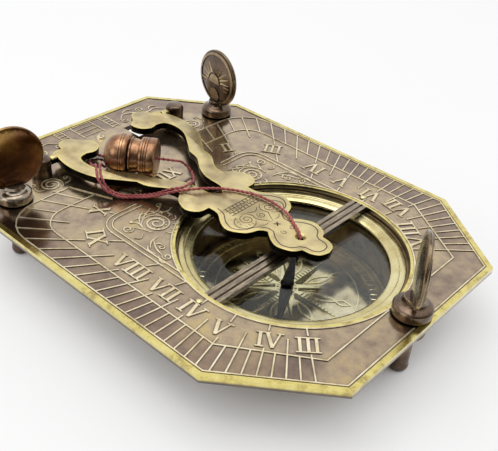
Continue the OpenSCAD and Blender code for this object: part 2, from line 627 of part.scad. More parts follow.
dial_plate();
hour_lines();
plumb_index();
hinge_post(-1);  // hinge_post_west
hinge_post(1);  // hinge_post_east
hinge_pin(-1);  // hinge_pin_west
hinge_pin(1);  // hinge_pin_east
foot_bushes();
compass_bowl();
bowl_screws();
compass_card();
needle_pivot();
compass_glass();
bezel_ring();
needle();
needle_cap();
bracket();
cord_knot();
cord();
bob_body();
bob_cap();
foot_screw(screw_x, screw_north);  // foot_screw_ne
foot_screw(-screw_x, screw_north);  // foot_screw_nw
foot_screw(0, -screw_south);  // foot_screw_s
collar(screw_x, screw_north, disc_ne_deg);  // collar_ne
collar(-screw_x, screw_north, disc_nw_deg);  // collar_nw
collar(0, -screw_south, disc_s_deg);  // collar_s
thumb_disc(screw_x, screw_north, disc_ne_deg);  // thumb_disc_ne
thumb_disc(-screw_x, screw_north, disc_nw_deg);  // thumb_disc_nw
thumb_disc(0, -screw_south, disc_s_deg);  // thumb_disc_s
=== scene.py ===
# %% [markdown]
# A pendulum sundial compass, dressed around its solid model. The instrument is a cast brass
# plate with raised hour lines, a compass let into it, a folding lyre bracket and a plumb bob.
# The solid model fixes the size and place of the main pieces. This script adds the finishes,
# the raised numerals and scrolls, the engraving, the twisted cord, the light and the camera.
# Lengths on the object are written in millimetres and turned into metres by MM. +X is east on
# the dial and +Y is its noon side.

# %% Load the solid model as the frame
import json
import math
import bmesh
import bpy
from mathutils import Matrix, Vector

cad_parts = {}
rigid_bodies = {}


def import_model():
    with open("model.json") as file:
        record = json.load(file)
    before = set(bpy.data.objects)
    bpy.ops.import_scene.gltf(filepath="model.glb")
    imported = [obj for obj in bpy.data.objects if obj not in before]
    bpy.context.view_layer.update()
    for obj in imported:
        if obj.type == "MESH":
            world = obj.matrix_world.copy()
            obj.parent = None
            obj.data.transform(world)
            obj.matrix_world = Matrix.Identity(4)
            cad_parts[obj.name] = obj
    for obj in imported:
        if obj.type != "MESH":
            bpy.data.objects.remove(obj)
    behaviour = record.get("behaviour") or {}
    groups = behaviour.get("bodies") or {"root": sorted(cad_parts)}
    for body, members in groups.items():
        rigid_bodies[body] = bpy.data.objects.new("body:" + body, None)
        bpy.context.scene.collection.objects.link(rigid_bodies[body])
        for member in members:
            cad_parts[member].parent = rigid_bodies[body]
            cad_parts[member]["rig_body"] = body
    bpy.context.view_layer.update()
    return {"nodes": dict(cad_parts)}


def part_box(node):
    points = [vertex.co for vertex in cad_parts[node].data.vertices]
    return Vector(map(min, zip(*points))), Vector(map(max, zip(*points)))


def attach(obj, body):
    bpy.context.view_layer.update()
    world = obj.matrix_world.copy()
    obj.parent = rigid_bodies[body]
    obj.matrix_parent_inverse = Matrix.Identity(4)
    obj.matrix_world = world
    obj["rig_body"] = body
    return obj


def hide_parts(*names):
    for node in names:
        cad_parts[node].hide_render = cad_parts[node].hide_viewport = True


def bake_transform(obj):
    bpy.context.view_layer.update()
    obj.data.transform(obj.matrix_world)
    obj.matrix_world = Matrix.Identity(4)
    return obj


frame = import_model()
nodes = frame["nodes"]
MM = 0.001
PLATE_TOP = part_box("hour_lines")[0][2]
print("plate top at", round(PLATE_TOP / MM, 2), "mm")

# %% [markdown]
# The camera comes first, because every later choice is judged through it. The photograph was
# taken from the south west, a little above the plate and close to it, so the perspective is
# strong. The lens is worked out from the focal length in pixels, and a small shift puts the
# lens axis left of the middle, as in the photograph.

# %% Camera
PHOTO_WIDTH = 498
PHOTO_HEIGHT = 451
FOCAL_PIXELS = 765.5
AXIS_COLUMN = 217.3
AXIS_ROW = 229.8
SENSOR = 36
turn, rise, roll = (math.radians(a) for a in (-48.4, 35.11, 3.57))
aim = Vector((-9.04, -6.41, 17)) * MM
distance = 200.66 * MM

back = Vector((math.sin(turn) * math.cos(rise), -math.cos(turn) * math.cos(rise), math.sin(rise)))
level = Vector((math.cos(turn), math.sin(turn), 0))
upward = back.cross(level)
across = level * math.cos(roll) + upward * math.sin(roll)
head = upward * math.cos(roll) - level * math.sin(roll)

lens = bpy.data.cameras.new("photo_camera")
lens.sensor_fit = "HORIZONTAL"
lens.sensor_width = SENSOR
lens.lens = FOCAL_PIXELS / PHOTO_WIDTH * SENSOR
lens.shift_x = (PHOTO_WIDTH / 2 - AXIS_COLUMN) / PHOTO_WIDTH
lens.shift_y = (AXIS_ROW - PHOTO_HEIGHT / 2) / PHOTO_WIDTH
lens.clip_start = 0.005
camera = bpy.data.objects.new("photo_camera", lens)
facing = Matrix((across, head, back)).transposed().to_4x4()
camera.matrix_world = Matrix.Translation(aim + back * distance) @ facing
bpy.context.scene.collection.objects.link(camera)
bpy.context.scene.camera = camera
print("lens", round(lens.lens, 2), "mm")

# %% [markdown]
# Materials come next. Each finish is one shader whose colour and roughness vary over the
# surface. The patterns read Object coordinates, so they stay fixed on a piece from every side.
# Wired by hand, a node takes a line for each link. A small class keeps that short: it adds a
# node and gives each of its inputs a plain value or another node's output.


# %% A short way to wire nodes
def tone(red, green, blue):
    """A colour as a screen shows it, 0 to 255, turned into the linear values a shader wants."""
    def linear(c):
        c = c / 255
        return c / 12.92 if c <= 0.04045 else ((c + 0.055) / 1.055) ** 2.4
    return (linear(red), linear(green), linear(blue), 1)


class Wiring:
    """Adds nodes to one tree and links them."""

    def __init__(self, tree):
        self.tree = tree

    def add(self, kind, inputs=None, **settings):
        """A new node. Its inputs are given by title or number, its settings by name."""
        node = self.tree.nodes.new(kind)
        for key, value in settings.items():
            setattr(node, key, value)
        for title, value in (inputs or {}).items():
            self.link(value, node.inputs[title])
        return node

    def link(self, value, socket):
        if hasattr(value, "is_output"):
            self.tree.links.new(value, socket)
        else:
            socket.default_value = value

    def maths(self, operation, a, b=0.0):
        return self.add("ShaderNodeMath", {0: a, 1: b}, operation=operation).outputs[0]

    def level(self, value, low, high, to_low=0.0, to_high=1.0, **settings):
        """A value between low and high, turned into one between to_low and to_high."""
        inputs = dict(enumerate((value, low, high, to_low, to_high)))
        return self.add("ShaderNodeMapRange", inputs, **settings).outputs["Result"]

    def openness(self, reach_mm):
        """0 deep in a corner, 1 where nothing stands within reach."""
        reach = {"Distance": reach_mm * MM}
        return self.add("ShaderNodeAmbientOcclusion", reach, samples=8).outputs["AO"]


print("a middle grey of 128 is", round(tone(128, 128, 128)[0], 3), "to a shader")

# %% [markdown]
# Old metal is rubbed where hands reach and darker where they don't, partly from grime and partly as painted
# shade. Two nodes find those places on any piece: Bevel turns the normal close to a sharp edge, and Ambient
# Occlusion goes dark in corners, where grime and painted shade are laid. Tops, sides and undersides are told
# apart by the piece's own normal, so that sides and undersides can be painted dark as shade. These masks and
# a few patterns are shared by all the finishes.


# %% Patterns and masks of a finish
class Finish(Wiring):
    """One material, with the patterns and masks that colour it."""

    def __init__(self, name, metallic):
        self.material = bpy.data.materials.new(name)
        self.material.use_nodes = True
        super().__init__(self.material.node_tree)
        self.shader = self.tree.nodes["Principled BSDF"]
        self.surface({"Metallic": metallic})
        self.place = self.add("ShaderNodeTexCoord").outputs["Object"]

    def surface(self, inputs):
        """Gives the shader's own inputs, by title."""
        for title, value in inputs.items():
            self.link(value, self.shader.inputs[title])

    def noise(self, size_mm, detail=4, rough=0.55, stretch=(1, 1, 1)):
        """Soft blotches of about this size, stretched along an axis if asked."""
        moved = self.add("ShaderNodeMapping", {"Scale": stretch, "Vector": self.place}).outputs[0]
        sizes = {"Scale": 1 / (size_mm * MM), "Detail": detail, "Roughness": rough}
        return self.add("ShaderNodeTexNoise", {"Vector": moved, **sizes}).outputs["Fac"]

    def mix(self, a, share, b):
        """Two patterns added: the first has this share, and the second has the rest."""
        return self.maths("ADD", self.maths("MULTIPLY", a, share), self.maths("MULTIPLY", b, 1 - share))

    def ramp(self, value, stops):
        """Colours along a value, each at its own stop."""
        node = self.add("ShaderNodeValToRGB", {"Fac": value})
        line = node.color_ramp
        while len(line.elements) < len(stops):
            line.elements.new(0.5)
        for element, (position, colour) in zip(line.elements, stops):
            element.position = position
            element.color = colour
        return node.outputs["Color"]

    def blend(self, share, a, b):
        """Colour b laid over colour a, by its share."""
        return self.add("ShaderNodeMix", {"Factor": share, 6: a, 7: b}, data_type="RGBA").outputs[2]

    def axes(self):
        """The three coordinates of a point on the piece."""
        return self.add("ShaderNodeSeparateXYZ", {0: self.place}).outputs

    def edges(self, reach_mm):
        """1 close to a sharp edge, 0 away from it: the turned normal differs from the true one."""
        turned = self.add("ShaderNodeBevel", {"Radius": reach_mm * MM}, samples=4).outputs["Normal"]
        true = self.add("ShaderNodeNewGeometry").outputs["Normal"]
        match = self.add("ShaderNodeVectorMath", {0: turned, 1: true}, operation="DOT_PRODUCT")
        return self.level(match.outputs["Value"], 0.995, 0.9)

    def dirt_and_shade_in_hollows(self, reach_mm, deep=0.55, open_level=0.95):
        """1 in corners and beside raised work, where grime and painted shade are laid."""
        return self.level(self.openness(reach_mm), deep, open_level, 1, 0)

    def facing_up(self):
        """How far a piece's own surface faces up: 1 on its top, 0 on its sides, -1 underneath."""
        normal = self.add("ShaderNodeTexCoord").outputs["Normal"]
        return self.add("ShaderNodeSeparateXYZ", {0: normal}).outputs["Z"]

    def sides(self):
        """1 on a piece's own sides, 0 on its top: the mask where sides are painted dark as shade."""
        return self.level(self.maths("ABSOLUTE", self.facing_up()), 0.45, 0.85, 1, 0)

    def underside(self):
        """1 on the faces that look down, 0 elsewhere."""
        return self.level(self.facing_up(), -0.85, -0.45, 1, 0)

    def bump(self, height, depth_mm, strength):
        sizes = {"Strength": strength, "Distance": depth_mm * MM}
        grain = self.add("ShaderNodeBump", {"Height": height, **sizes}).outputs["Normal"]
        self.surface({"Normal": grain})


print("a finish can use", ", ".join(name for name in vars(Finish) if name[0] != "_"))

# %% [markdown]
# Old brass is not one colour. Where fingers never reach it is mauve brown, on edges it is rubbed back to pale
# gold, in corners it is darkened with grime and painted shade, its sides and undersides can be painted dark
# as shade, and turned parts keep a bronze lacquer. Noises of different sizes mix the tarnish, and masks find
# edges, corners and sides.
# One function makes every such metal, and each finish is then a row of colours and sizes.


# %% Metal finishes
CLOUD_SHARE = 0.6
TONE_STOPS = (0.36, 0.5, 0.64)
# The share of grime and painted shade laid in corners
DIRT_AND_SHADE_SHARE = 0.8
SIDE_WEAR = 0.012


def old_metal(name, dark, middle, light, rough, cloud_mm=14, stain_mm=3.5, metallic=0.9,
              grain=0.02, edge=None, edge_mm=0.5, dirt_and_shade=None, dirt_and_shade_mm=0.8, side=None, under=None,
              coat=0.0):
    """Tarnished metal in three tones, with rubbed edges, and if asked grime and painted shade in its corners
    and painted shade on its sides and undersides.
    """
    f = Finish(name, metallic)
    f.surface({"Coat Weight": coat, "Coat Roughness": 0.12})
    clouds = f.noise(cloud_mm, 3, 0.6)
    stains = f.noise(stain_mm, 6, 0.65)
    tones = list(zip(TONE_STOPS, (dark, middle, light)))
    colour = f.ramp(f.mix(clouds, CLOUD_SHARE, stains), tones)
    # Corners darkened, partly grime and partly painted shade
    if dirt_and_shade:
        colour = f.blend(f.maths("MULTIPLY", f.dirt_and_shade_in_hollows(dirt_and_shade_mm), DIRT_AND_SHADE_SHARE), colour, dirt_and_shade)
    # Sides painted dark as shade
    if side:
        upright = f.sides()
        colour = f.blend(upright, colour, side)
    # Undersides painted dark as shade
    if under:
        colour = f.blend(f.underside(), colour, under)
    if edge:
        worn = f.maths("MULTIPLY", f.edges(edge_mm), f.level(stains, 0.3, 0.6, 0.55, 1))
        if side:
            worn = f.maths("MULTIPLY", worn, f.level(upright, 0.2, 1, 1, SIDE_WEAR))
        colour = f.blend(worn, colour, edge)
    f.surface({"Base Color": colour, "Roughness": f.level(stains, 0.3, 0.7, rough[0], rough[1])})
    f.bump(f.noise(0.35, 3, 0.6), grain, 0.6)
    return f


# Dark brown for grime and painted shade in corners, and for painted shade on a plate's sides
DARK_DIRT_AND_SHADE = tone(44, 33, 24)
relief_brass = old_metal("rubbed_relief", tone(196, 178, 140), tone(234, 218, 180), tone(250, 240, 212),
                         (0.28, 0.42), 9, 1.5)
bright_brass = old_metal("polished_brass", tone(176, 158, 104), tone(214, 200, 146), tone(232, 222, 174),
                         (0.2, 0.36), 18, 5, 0.95, 0.008, dirt_and_shade=DARK_DIRT_AND_SHADE, dirt_and_shade_mm=0.6)
# The bracket's sides are painted nearly black and its underside dark brown, as shade
satin_brass = old_metal("satin_bracket", tone(178, 160, 122), tone(212, 194, 146), tone(232, 216, 160),
                        (0.26, 0.38), 16, 4, 0.92, 0.008, edge=tone(236, 218, 122), edge_mm=1.3,
                        side=tone(12, 9, 5), under=tone(58, 46, 30))
bronze = old_metal("bronze_lacquer", tone(62, 46, 36), tone(100, 78, 60), tone(138, 114, 90),
                   (0.2, 0.32), 8, 2.5, 0.85, 0.006, edge=tone(186, 164, 120), edge_mm=0.6,
                   dirt_and_shade=tone(30, 22, 16), coat=0.5)
sun_bronze = old_metal("sun_relief", tone(130, 110, 86), tone(168, 146, 116), tone(200, 180, 144),
                       (0.24, 0.36), 8, 2.5, 0.85, 0.006, dirt_and_shade=tone(40, 30, 22), dirt_and_shade_mm=0.5)
amber_bronze = old_metal("amber_lacquer", tone(66, 34, 12), tone(112, 66, 22), tone(168, 128, 58),
                         (0.14, 0.22), 14, 6, 0.9, 0.002, edge=tone(190, 160, 96), edge_mm=0.6, coat=0.6)
copper = old_metal("copper_brown", tone(108, 72, 48), tone(164, 120, 86), tone(214, 176, 138), (0.26, 0.36),
                   7, 2, 0.92, 0.004, dirt_and_shade=tone(34, 20, 12), dirt_and_shade_mm=0.5, coat=0.3)
# A lighter, greyer copy of the bronze for the north-west collar alone: a painted highlight
lit_collar_bronze = old_metal("rubbed_collar", tone(104, 92, 78), tone(152, 138, 120), tone(192, 180, 162),
                        (0.14, 0.24), 5, 2, 0.92, 0.004, dirt_and_shade=tone(36, 28, 20), dirt_and_shade_mm=0.5, coat=0.5)
steel = old_metal("blued_steel", tone(10, 10, 12), tone(18, 17, 20), tone(34, 32, 34), (0.25, 0.4), 6, 2, 0.6)
under_brass = old_metal("dull_brass", tone(82, 66, 46), tone(126, 106, 70), tone(156, 136, 94),
                        (0.38, 0.55), dirt_and_shade=DARK_DIRT_AND_SHADE)
print("nodes in the bracket's finish:", len(satin_brass.tree.nodes))

# %% [markdown]
# The dial plate is one casting with several looks. Its raised rim is polished yellow, the hour band inside it
# is dark, the band of numerals is paler, and beside all raised work it is darkened, partly with grime and
# partly as painted shade. Its cut sides are painted dark as shade.
# The bands are found by distance from the eight edges, worked out in the shader from the same
# sizes as the plate, so no second mesh is needed.


# %% Dial plate finish
PLATE_HALF_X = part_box("dial_plate")[1][0]
PLATE_HALF_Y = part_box("dial_plate")[1][1]
CORNER_X = 19.6 * MM
CORNER_Y = 24.9 * MM
RIM = 1.4 * MM
HOUR_BAND = 9 * MM
WELL_RADIUS = 30 * MM
WELL_LIP = 0.8 * MM
WELL_Y = -24.4 * MM
SOFT = 0.1 * MM
SOUTH_FADE = (-58 * MM, -52 * MM)


def plate_zones(f):
    """Masks for the polished rim and well lip, the dark hour band and the bridge bar."""
    x, y, z = f.axes()
    far_x = f.maths("ABSOLUTE", x)
    far_y = f.maths("ABSOLUTE", y)
    cut = math.hypot(CORNER_X, CORNER_Y)
    nx, ny = CORNER_Y / cut, CORNER_X / cut
    reach = nx * PLATE_HALF_X + ny * (PLATE_HALF_Y - CORNER_Y)
    along = f.maths("ADD", f.maths("MULTIPLY", far_x, nx), f.maths("MULTIPLY", far_y, ny))
    slant = f.maths("SUBTRACT", reach, along)
    from_side = f.maths("SUBTRACT", PLATE_HALF_X, far_x)
    from_end = f.maths("SUBTRACT", PLATE_HALF_Y, far_y)
    inside = f.maths("MINIMUM", f.maths("MINIMUM", from_side, from_end), slant)
    rim = f.level(inside, RIM, RIM + SOFT, 1, 0)
    face = f.level(z, PLATE_TOP - 1.2 * MM, PLATE_TOP - 0.6 * MM)
    from_y = f.maths("SUBTRACT", y, WELL_Y)
    radius = f.maths("SQRT", f.maths("ADD", f.maths("MULTIPLY", x, x), f.maths("MULTIPLY", from_y, from_y)))
    on_bar = f.maths("LESS_THAN", radius, WELL_RADIUS - 0.3 * MM)
    lip_edge = WELL_RADIUS + WELL_LIP
    within_lip = f.level(radius, lip_edge - SOFT, lip_edge + SOFT, 1, 0)
    lip = f.maths("MULTIPLY", within_lip, f.maths("GREATER_THAN", radius, WELL_RADIUS + 0.02 * MM))
    in_band = f.level(inside, HOUR_BAND - 1 * MM, HOUR_BAND + 1.5 * MM, 1, 0)
    in_band = f.maths("MULTIPLY", in_band, f.level(y, *SOUTH_FADE, 0.25, 1))
    return f.maths("MULTIPLY", f.maths("MAXIMUM", rim, lip), face), in_band, on_bar


print("plate", round(2 * PLATE_HALF_X / MM), "by", round(2 * PLATE_HALF_Y / MM), "mm")


# %% Colours of the dial plate
def plate_finish():
    f = Finish("tarnished_dial", 0.94)
    f.surface({"Coat Weight": 0.8, "Coat Roughness": 0.16, "Coat IOR": 1.9})
    polished, in_band, on_bar = plate_zones(f)
    clouds = f.noise(13, 3, 0.6)
    stains = f.noise(3, 7, 0.7)
    streaks = f.noise(1.2, 5, 0.7, (0.25, 1, 1))
    mixed = f.mix(clouds, 0.55, stains)
    tarnish = f.ramp(mixed, [(0.34, tone(112, 87, 66)), (0.45, tone(158, 134, 106)),
                             (0.54, tone(182, 159, 122)), (0.66, tone(206, 180, 108))])
    dark_band = f.ramp(mixed, [(0.36, tone(86, 58, 40)), (0.5, tone(130, 102, 78)),
                               (0.64, tone(162, 136, 98))])
    base = f.blend(in_band, tarnish, dark_band)
    # Darkened beside raised work and in corners, partly grime and partly painted shade
    base = f.blend(f.maths("MULTIPLY", f.dirt_and_shade_in_hollows(0.8, 0.7, 0.98), 0.85), base, DARK_DIRT_AND_SHADE)
    bar = f.ramp(streaks, [(0.35, tone(92, 76, 58)), (0.5, tone(138, 120, 94)),
                           (0.66, tone(176, 158, 124))])
    base = f.blend(on_bar, base, bar)
    # The plate's cut sides painted dark as shade
    base = f.blend(f.maths("MULTIPLY", f.sides(), 0.8), base, DARK_DIRT_AND_SHADE)
    gold = f.ramp(stains, [(0.34, tone(164, 142, 64)), (0.48, tone(222, 204, 104)),
                           (0.7, tone(240, 226, 142))])
    f.surface({"Base Color": f.blend(polished, base, gold),
               "Roughness": f.level(streaks, 0.3, 0.7, 0.09, 0.24)})
    f.bump(f.maths("ADD", f.noise(0.4, 3, 0.6), stains), 0.03, 0.22)
    return f


dial_brass = plate_finish()
print("nodes in the plate's finish:", len(dial_brass.tree.nodes))

# %% [markdown]
# The compass glass shows two things: a weak reflection of the studio and the dark card below.
# A thin mirror that is almost wholly see-through does both, and it lets the light down to the
# card without the dark shadow of a solid pane. Fine scratches and dust vary its roughness.
# The cord's colour is read from noise, and the hollows between its strands are painted dark as shade. The
# card has a gilt and a dark tone beside its own.


# %% Glass, card and cord finishes
def glass_finish():
    f = Finish("compass_glass", 1)
    haze = f.ramp(f.noise(20), [(0.4, tone(214, 216, 214)), (0.6, tone(232, 234, 230))])
    dust = f.level(f.noise(6, 5, 0.6), 0.35, 0.7, 0.02, 0.09)
    f.surface({"Alpha": 0.07, "Base Color": haze, "Roughness": dust})
    return f


def cord_finish():
    """Pink worn fibres on the strands' crowns, and dark maroon painted down in the twist as shade."""
    f = Finish("maroon_thread", 0)
    fibres = f.mix(f.noise(0.35, 4, 0.7), 0.65, f.noise(6, 3, 0.6))
    crown = f.ramp(fibres, [(0.34, tone(108, 26, 32)), (0.5, tone(172, 68, 70)),
                            (0.66, tone(222, 136, 128))])
    # Painted shade: dark maroon in the hollows of the twist
    colour = f.blend(f.dirt_and_shade_in_hollows(0.3, 0.55, 0.98), crown, tone(40, 3, 7))
    f.surface({"Base Color": colour, "Roughness": 0.7, "Sheen Weight": 0.4})
    f.bump(f.noise(0.1, 2, 0.6), 0.02, 0.6)
    return f


glass = glass_finish()
thread = cord_finish()
card_metal = old_metal("brass_card", tone(160, 148, 116), tone(206, 196, 160), tone(232, 224, 186),
                       (0.06, 0.17), 12, 3, 1.0, 0.004)
card_gold = old_metal("card_gilding", tone(214, 206, 150), tone(240, 234, 184), tone(250, 246, 206),
                      (0.14, 0.26), 6, 2, 1.0, 0.004)
card_shade = old_metal("card_shade", tone(70, 64, 44), tone(100, 94, 66), tone(128, 120, 84),
                       (0.2, 0.3), 6, 2, 0.95, 0.004)
ink = old_metal("engraved_dark", tone(36, 26, 14), tone(56, 44, 26), tone(78, 64, 40), (0.5, 0.7), 6, 2, 0.3)
print("nodes in the cord's finish:", len(thread.tree.nodes))

# %% [markdown]
# The cord is a thin two-ply thread. It leaves a knot under the bracket's tip, crosses the
# bracket, runs doubled over the west arm to a small loop, comes back beside itself and ends in
# the bob's cap. Its route is a short list of chosen points, each with its height above the
# plate, and one smooth curve runs through them. Two strands wind round that curve, so the
# twist is real and catches the light.

# %% The cord's route
CORD_D = 0.85 * MM
PLIES = 2
PLY_SHARE = 0.6
TWIST = 2.7 * MM
ROUTE = [(0, -26.6, 2.2), (0, -26.6, 2.9), (0.2, -26.3, 3.85), (0.8, -25.3, 4.64), (1.9, -23.5, 4.7),
         (5.3, -17.2, 4.65), (5.9, -8, 4.65), (1.4, 1.3, 4.65), (-7.3, 7.9, 4.8), (-10.3, 10.1, 4.35),
         (-12.5, 13.8, 2.3), (-15.3, 18.5, 0.85), (-18.6, 21.5, 1), (-21.1, 24.4, 2.9), (-20.8, 27.7, 4.6),
         (-18.5, 31.3, 4.8), (-16.1, 34.6, 4.2), (-14.1, 38.8, 1.4), (-12.7, 41.8, 0.75),
         (-11.9, 43.6, 0.75), (-10.1, 44.4, 0.75), (-8.3, 43.6, 0.75), (-7.5, 41.8, 0.75), (-8.5, 38.8, 0.75),
         (-11.6, 36.2, 1.3), (-15.1, 33.6, 4.5), (-18.2, 30.1, 4.8), (-19.8, 27.3, 4.6), (-20.1, 24.8, 2.9),
         (-17.8, 22.3, 1), (-14.5, 19.1, 0.85), (-11.7, 14.6, 2.3), (-9.2, 11.1, 4.4), (-6.7, 9.1, 4.85),
         (-2.6, 9.8, 4.45), (0.8, 12.6, 1.8), (3.7, 15.1, 0.85), (5.3, 17.9, 1.3), (4.2, 20, 3.5),
         (0.4, 20.2, 5.7), (-3, 23.4, 6.3)]
route = [Vector(p) * MM + Vector((0, 0, PLATE_TOP)) for p in ROUTE]
print("points on the cord's route:", len(route))


# %% One smooth curve through the points
def slope(a, b, c):
    """The curve's direction at b, from its neighbours and their distances."""
    before, after = (b - a).length, (c - b).length
    if before < 1e-6:
        return (c - b) / after
    if after < 1e-6:
        return (b - a) / before
    return (b - a) / before - (c - a) / (before + after) + (c - b) / after


def rounded(points, steps):
    """One smooth curve through the points, as the solid cord has it."""
    line = []
    last = len(points) - 1
    for i in range(last):
        start, end = points[i], points[i + 1]
        span = (end - start).length
        lead = slope(points[max(i - 1, 0)], start, end) * span
        tail = slope(start, end, points[min(i + 2, last)]) * span
        for k in range(steps):
            t = k / steps
            line.append(start * (2 * t**3 - 3 * t * t + 1) + lead * (t**3 - 2 * t * t + t)
                        + end * (3 * t * t - 2 * t**3) + tail * (t**3 - t * t))
    return line + [points[last]]


def even_steps(line, step):
    """The same line, with its points an equal step apart."""
    total = sum((b - a).length for a, b in zip(line, line[1:]))
    count = round(total / step)
    out, i, gone = [line[0]], 0, 0.0
    for k in range(1, count):
        want = total * k / count
        while gone + (line[i + 1] - line[i]).length < want:
            gone += (line[i + 1] - line[i]).length
            i += 1
        span = (line[i + 1] - line[i]).length
        out.append(line[i].lerp(line[i + 1], (want - gone) / span))
    return out + [line[-1]], total


cord_line, cord_length = even_steps(rounded(route, 12), 0.25 * MM)
print("cord length", round(cord_length / MM, 1), "mm in", len(cord_line), "steps")


# %% [markdown]
# A piece that no solid gives is built from its own points and faces. Three helpers serve all
# of them: one makes the object, one shades it smooth but keeps its sharp edges crisp, and one
# says which body it rides on. The cord's strands are tubes that wind along the route.


# %% Pieces from plain meshes
def piece(name, verts, faces, finish, smooth):
    mesh = bpy.data.meshes.new(name)
    mesh.from_pydata(verts, [], faces)
    obj = bpy.data.objects.new(name, mesh)
    bpy.context.scene.collection.objects.link(obj)
    obj.data.materials.append(finish.material)
    soften(obj, smooth)
    return obj


def soften(obj, degrees):
    """Smooth shading, with every edge sharper than this angle kept crisp."""
    bm = bmesh.new()
    bm.from_mesh(obj.data)
    for face in bm.faces:
        face.smooth = True
    for edge in bm.edges:
        edge.smooth = len(edge.link_faces) == 2 and edge.calc_face_angle() < math.radians(degrees)
    bm.to_mesh(obj.data)
    bm.free()


def settle(obj, body, node=None):
    """Says which body a piece rides on, and hides the solid it stands for."""
    if node:
        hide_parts(node)
    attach(obj, body)
    return obj


print("new pieces are linked into:", bpy.context.scene.collection.name)


# %% Wind the thread
STRAND_SIDES = 8


def wind_strand(line, radius, offset, twist, start_angle, verts, faces):
    """Adds a round strand that winds along a line, once round it in each length of twist."""
    first = len(verts)
    # Any direction does to begin with, as long as the line doesn't start along it
    side = Vector((0.31, 0.95, 0.1))
    gone = 0.0
    for i, point in enumerate(line):
        ahead = (line[min(i + 1, len(line) - 1)] - line[max(i - 1, 0)]).normalized()
        side = (side - ahead * side.dot(ahead)).normalized()
        other = ahead.cross(side)
        if i:
            gone += (point - line[i - 1]).length
        wind = start_angle + 2 * math.pi * gone / twist
        out = side * math.cos(wind) + other * math.sin(wind)
        middle = point + out * offset
        for k in range(STRAND_SIDES):
            a = 2 * math.pi * k / STRAND_SIDES
            verts.append(middle + (side * math.cos(a) + other * math.sin(a)) * radius)
    for i in range(len(line) - 1):
        for k in range(STRAND_SIDES):
            a = first + i * STRAND_SIDES + k
            b = first + i * STRAND_SIDES + (k + 1) % STRAND_SIDES
            faces.append((a, b, b + STRAND_SIDES, a + STRAND_SIDES))
    faces.append([first + k for k in reversed(range(STRAND_SIDES))])
    faces.append([len(verts) - STRAND_SIDES + k for k in range(STRAND_SIDES)])


ply = CORD_D / 2 * PLY_SHARE
cord_verts, cord_faces = [], []
for k in range(PLIES):
    start_angle = 2 * math.pi * k / PLIES
    wind_strand(cord_line, ply, CORD_D / 2 - ply, TWIST, start_angle, cord_verts, cord_faces)
cord = piece("plumb_cord", cord_verts, cord_faces, thread, smooth=80)
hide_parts("cord")
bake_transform(cord)
print("strands", PLIES, "faces", len(cord_faces))

# %% [markdown]
# The solids keep their shapes, but a real edge is never perfectly sharp. Each rigid piece is
# copied, its loose triangles are joined, and a very small bevel is cut on its edges, which
# then catch a thin line of light. The copy stands for the solid.


# %% Dress a solid
SMOOTH_BELOW = 34
BEVEL_ABOVE = 38


def dressed(node, finish, slot, bevel_mm):
    """A welded copy of a solid, with its edges cut and its finish on."""
    obj = bpy.data.objects.new(f"{node}_finished", nodes[node].data.copy())
    bpy.context.scene.collection.objects.link(obj)
    bm = bmesh.new()
    bm.from_mesh(obj.data)
    bmesh.ops.remove_doubles(bm, verts=bm.verts, dist=1e-6)
    bmesh.ops.dissolve_limit(bm, angle_limit=math.radians(0.5), verts=bm.verts, edges=bm.edges)
    bm.to_mesh(obj.data)
    bm.free()
    if bevel_mm:
        cut = obj.modifiers.new("edge", "BEVEL")
        cut.width = bevel_mm * MM
        cut.segments = 2
        cut.limit_method = "ANGLE"
        cut.angle_limit = math.radians(BEVEL_ABOVE)
        cut.use_clamp_overlap = True
        graph = bpy.context.evaluated_depsgraph_get()
        mesh = bpy.data.meshes.new_from_object(obj.evaluated_get(graph))
        obj.modifiers.clear()
        obj.data = mesh
    obj.data.materials.clear()
    obj.data.materials.append(finish.material)
    soften(obj, SMOOTH_BELOW)
    return settle(obj, nodes[node]["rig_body"], node)


def coated(node, finish):
    """A solid that stays as it is and only gets its finish."""
    nodes[node].data.materials.clear()
    nodes[node].data.materials.append(finish.material)


print("edges sharper than", BEVEL_ABOVE, "degrees are cut")

# %% The finish of each solid
# Each row: the solid, its finish, its slot and the bevel on its edges in mm
DRESSED = [
    ("hinge_post_west", bronze, "dark_bronze", 0.1), ("hinge_post_east", bronze, "dark_bronze", 0.1),
    ("hinge_pin_west", bright_brass, "bright_brass", 0), ("hinge_pin_east", bright_brass, "bright_brass", 0),
    ("plumb_index", relief_brass, "bright_brass", 0), ("foot_bushes", under_brass, "aged_brass", 0.15),
    ("compass_bowl", under_brass, "bright_brass", 0.2), ("bowl_screws", bright_brass, "bright_brass", 0.1),
    ("needle_pivot", bright_brass, "bright_brass", 0), ("bezel_ring", bright_brass, "bright_brass", 0.12),
    ("needle", steel, "blued_steel", 0.08), ("needle_cap", steel, "blued_steel", 0.15),
    ("bracket", satin_brass, "bright_brass", 0.25), ("hour_lines", relief_brass, "pale_brass", 0),
    ("compass_card", card_metal, "card_brass", 0), ("compass_glass", glass, "glass", 0.1)]
for row in DRESSED:
    dressed(*row)
SCREWS = ("ne", "nw", "s")
# The north-west collar takes the lighter copy of the bronze, a painted highlight
for corner in SCREWS:
    dressed(f"foot_screw_{corner}", bronze, "dark_bronze", 0)
    dressed(f"collar_{corner}", lit_collar_bronze if corner == "nw" else bronze, "dark_bronze", 0.12)
    dressed(f"thumb_disc_{corner}", amber_bronze if corner == "nw" else bronze, "dark_bronze", 0.1)
coated("dial_plate", dial_brass)
coated("cord_knot", thread)
print("solids dressed:", len(DRESSED) + 3 * len(SCREWS))

# %% [markdown]
# The bob is turned work, so its outline is spun round its own axis. The solid gives the main
# shape: a ball, a neck and a cap. Here the same outline gets the fine turned lines that a
# lathe tool leaves, which catch the light as thin rings. It lies on its side, and its cap's
# end is where the cord ends.


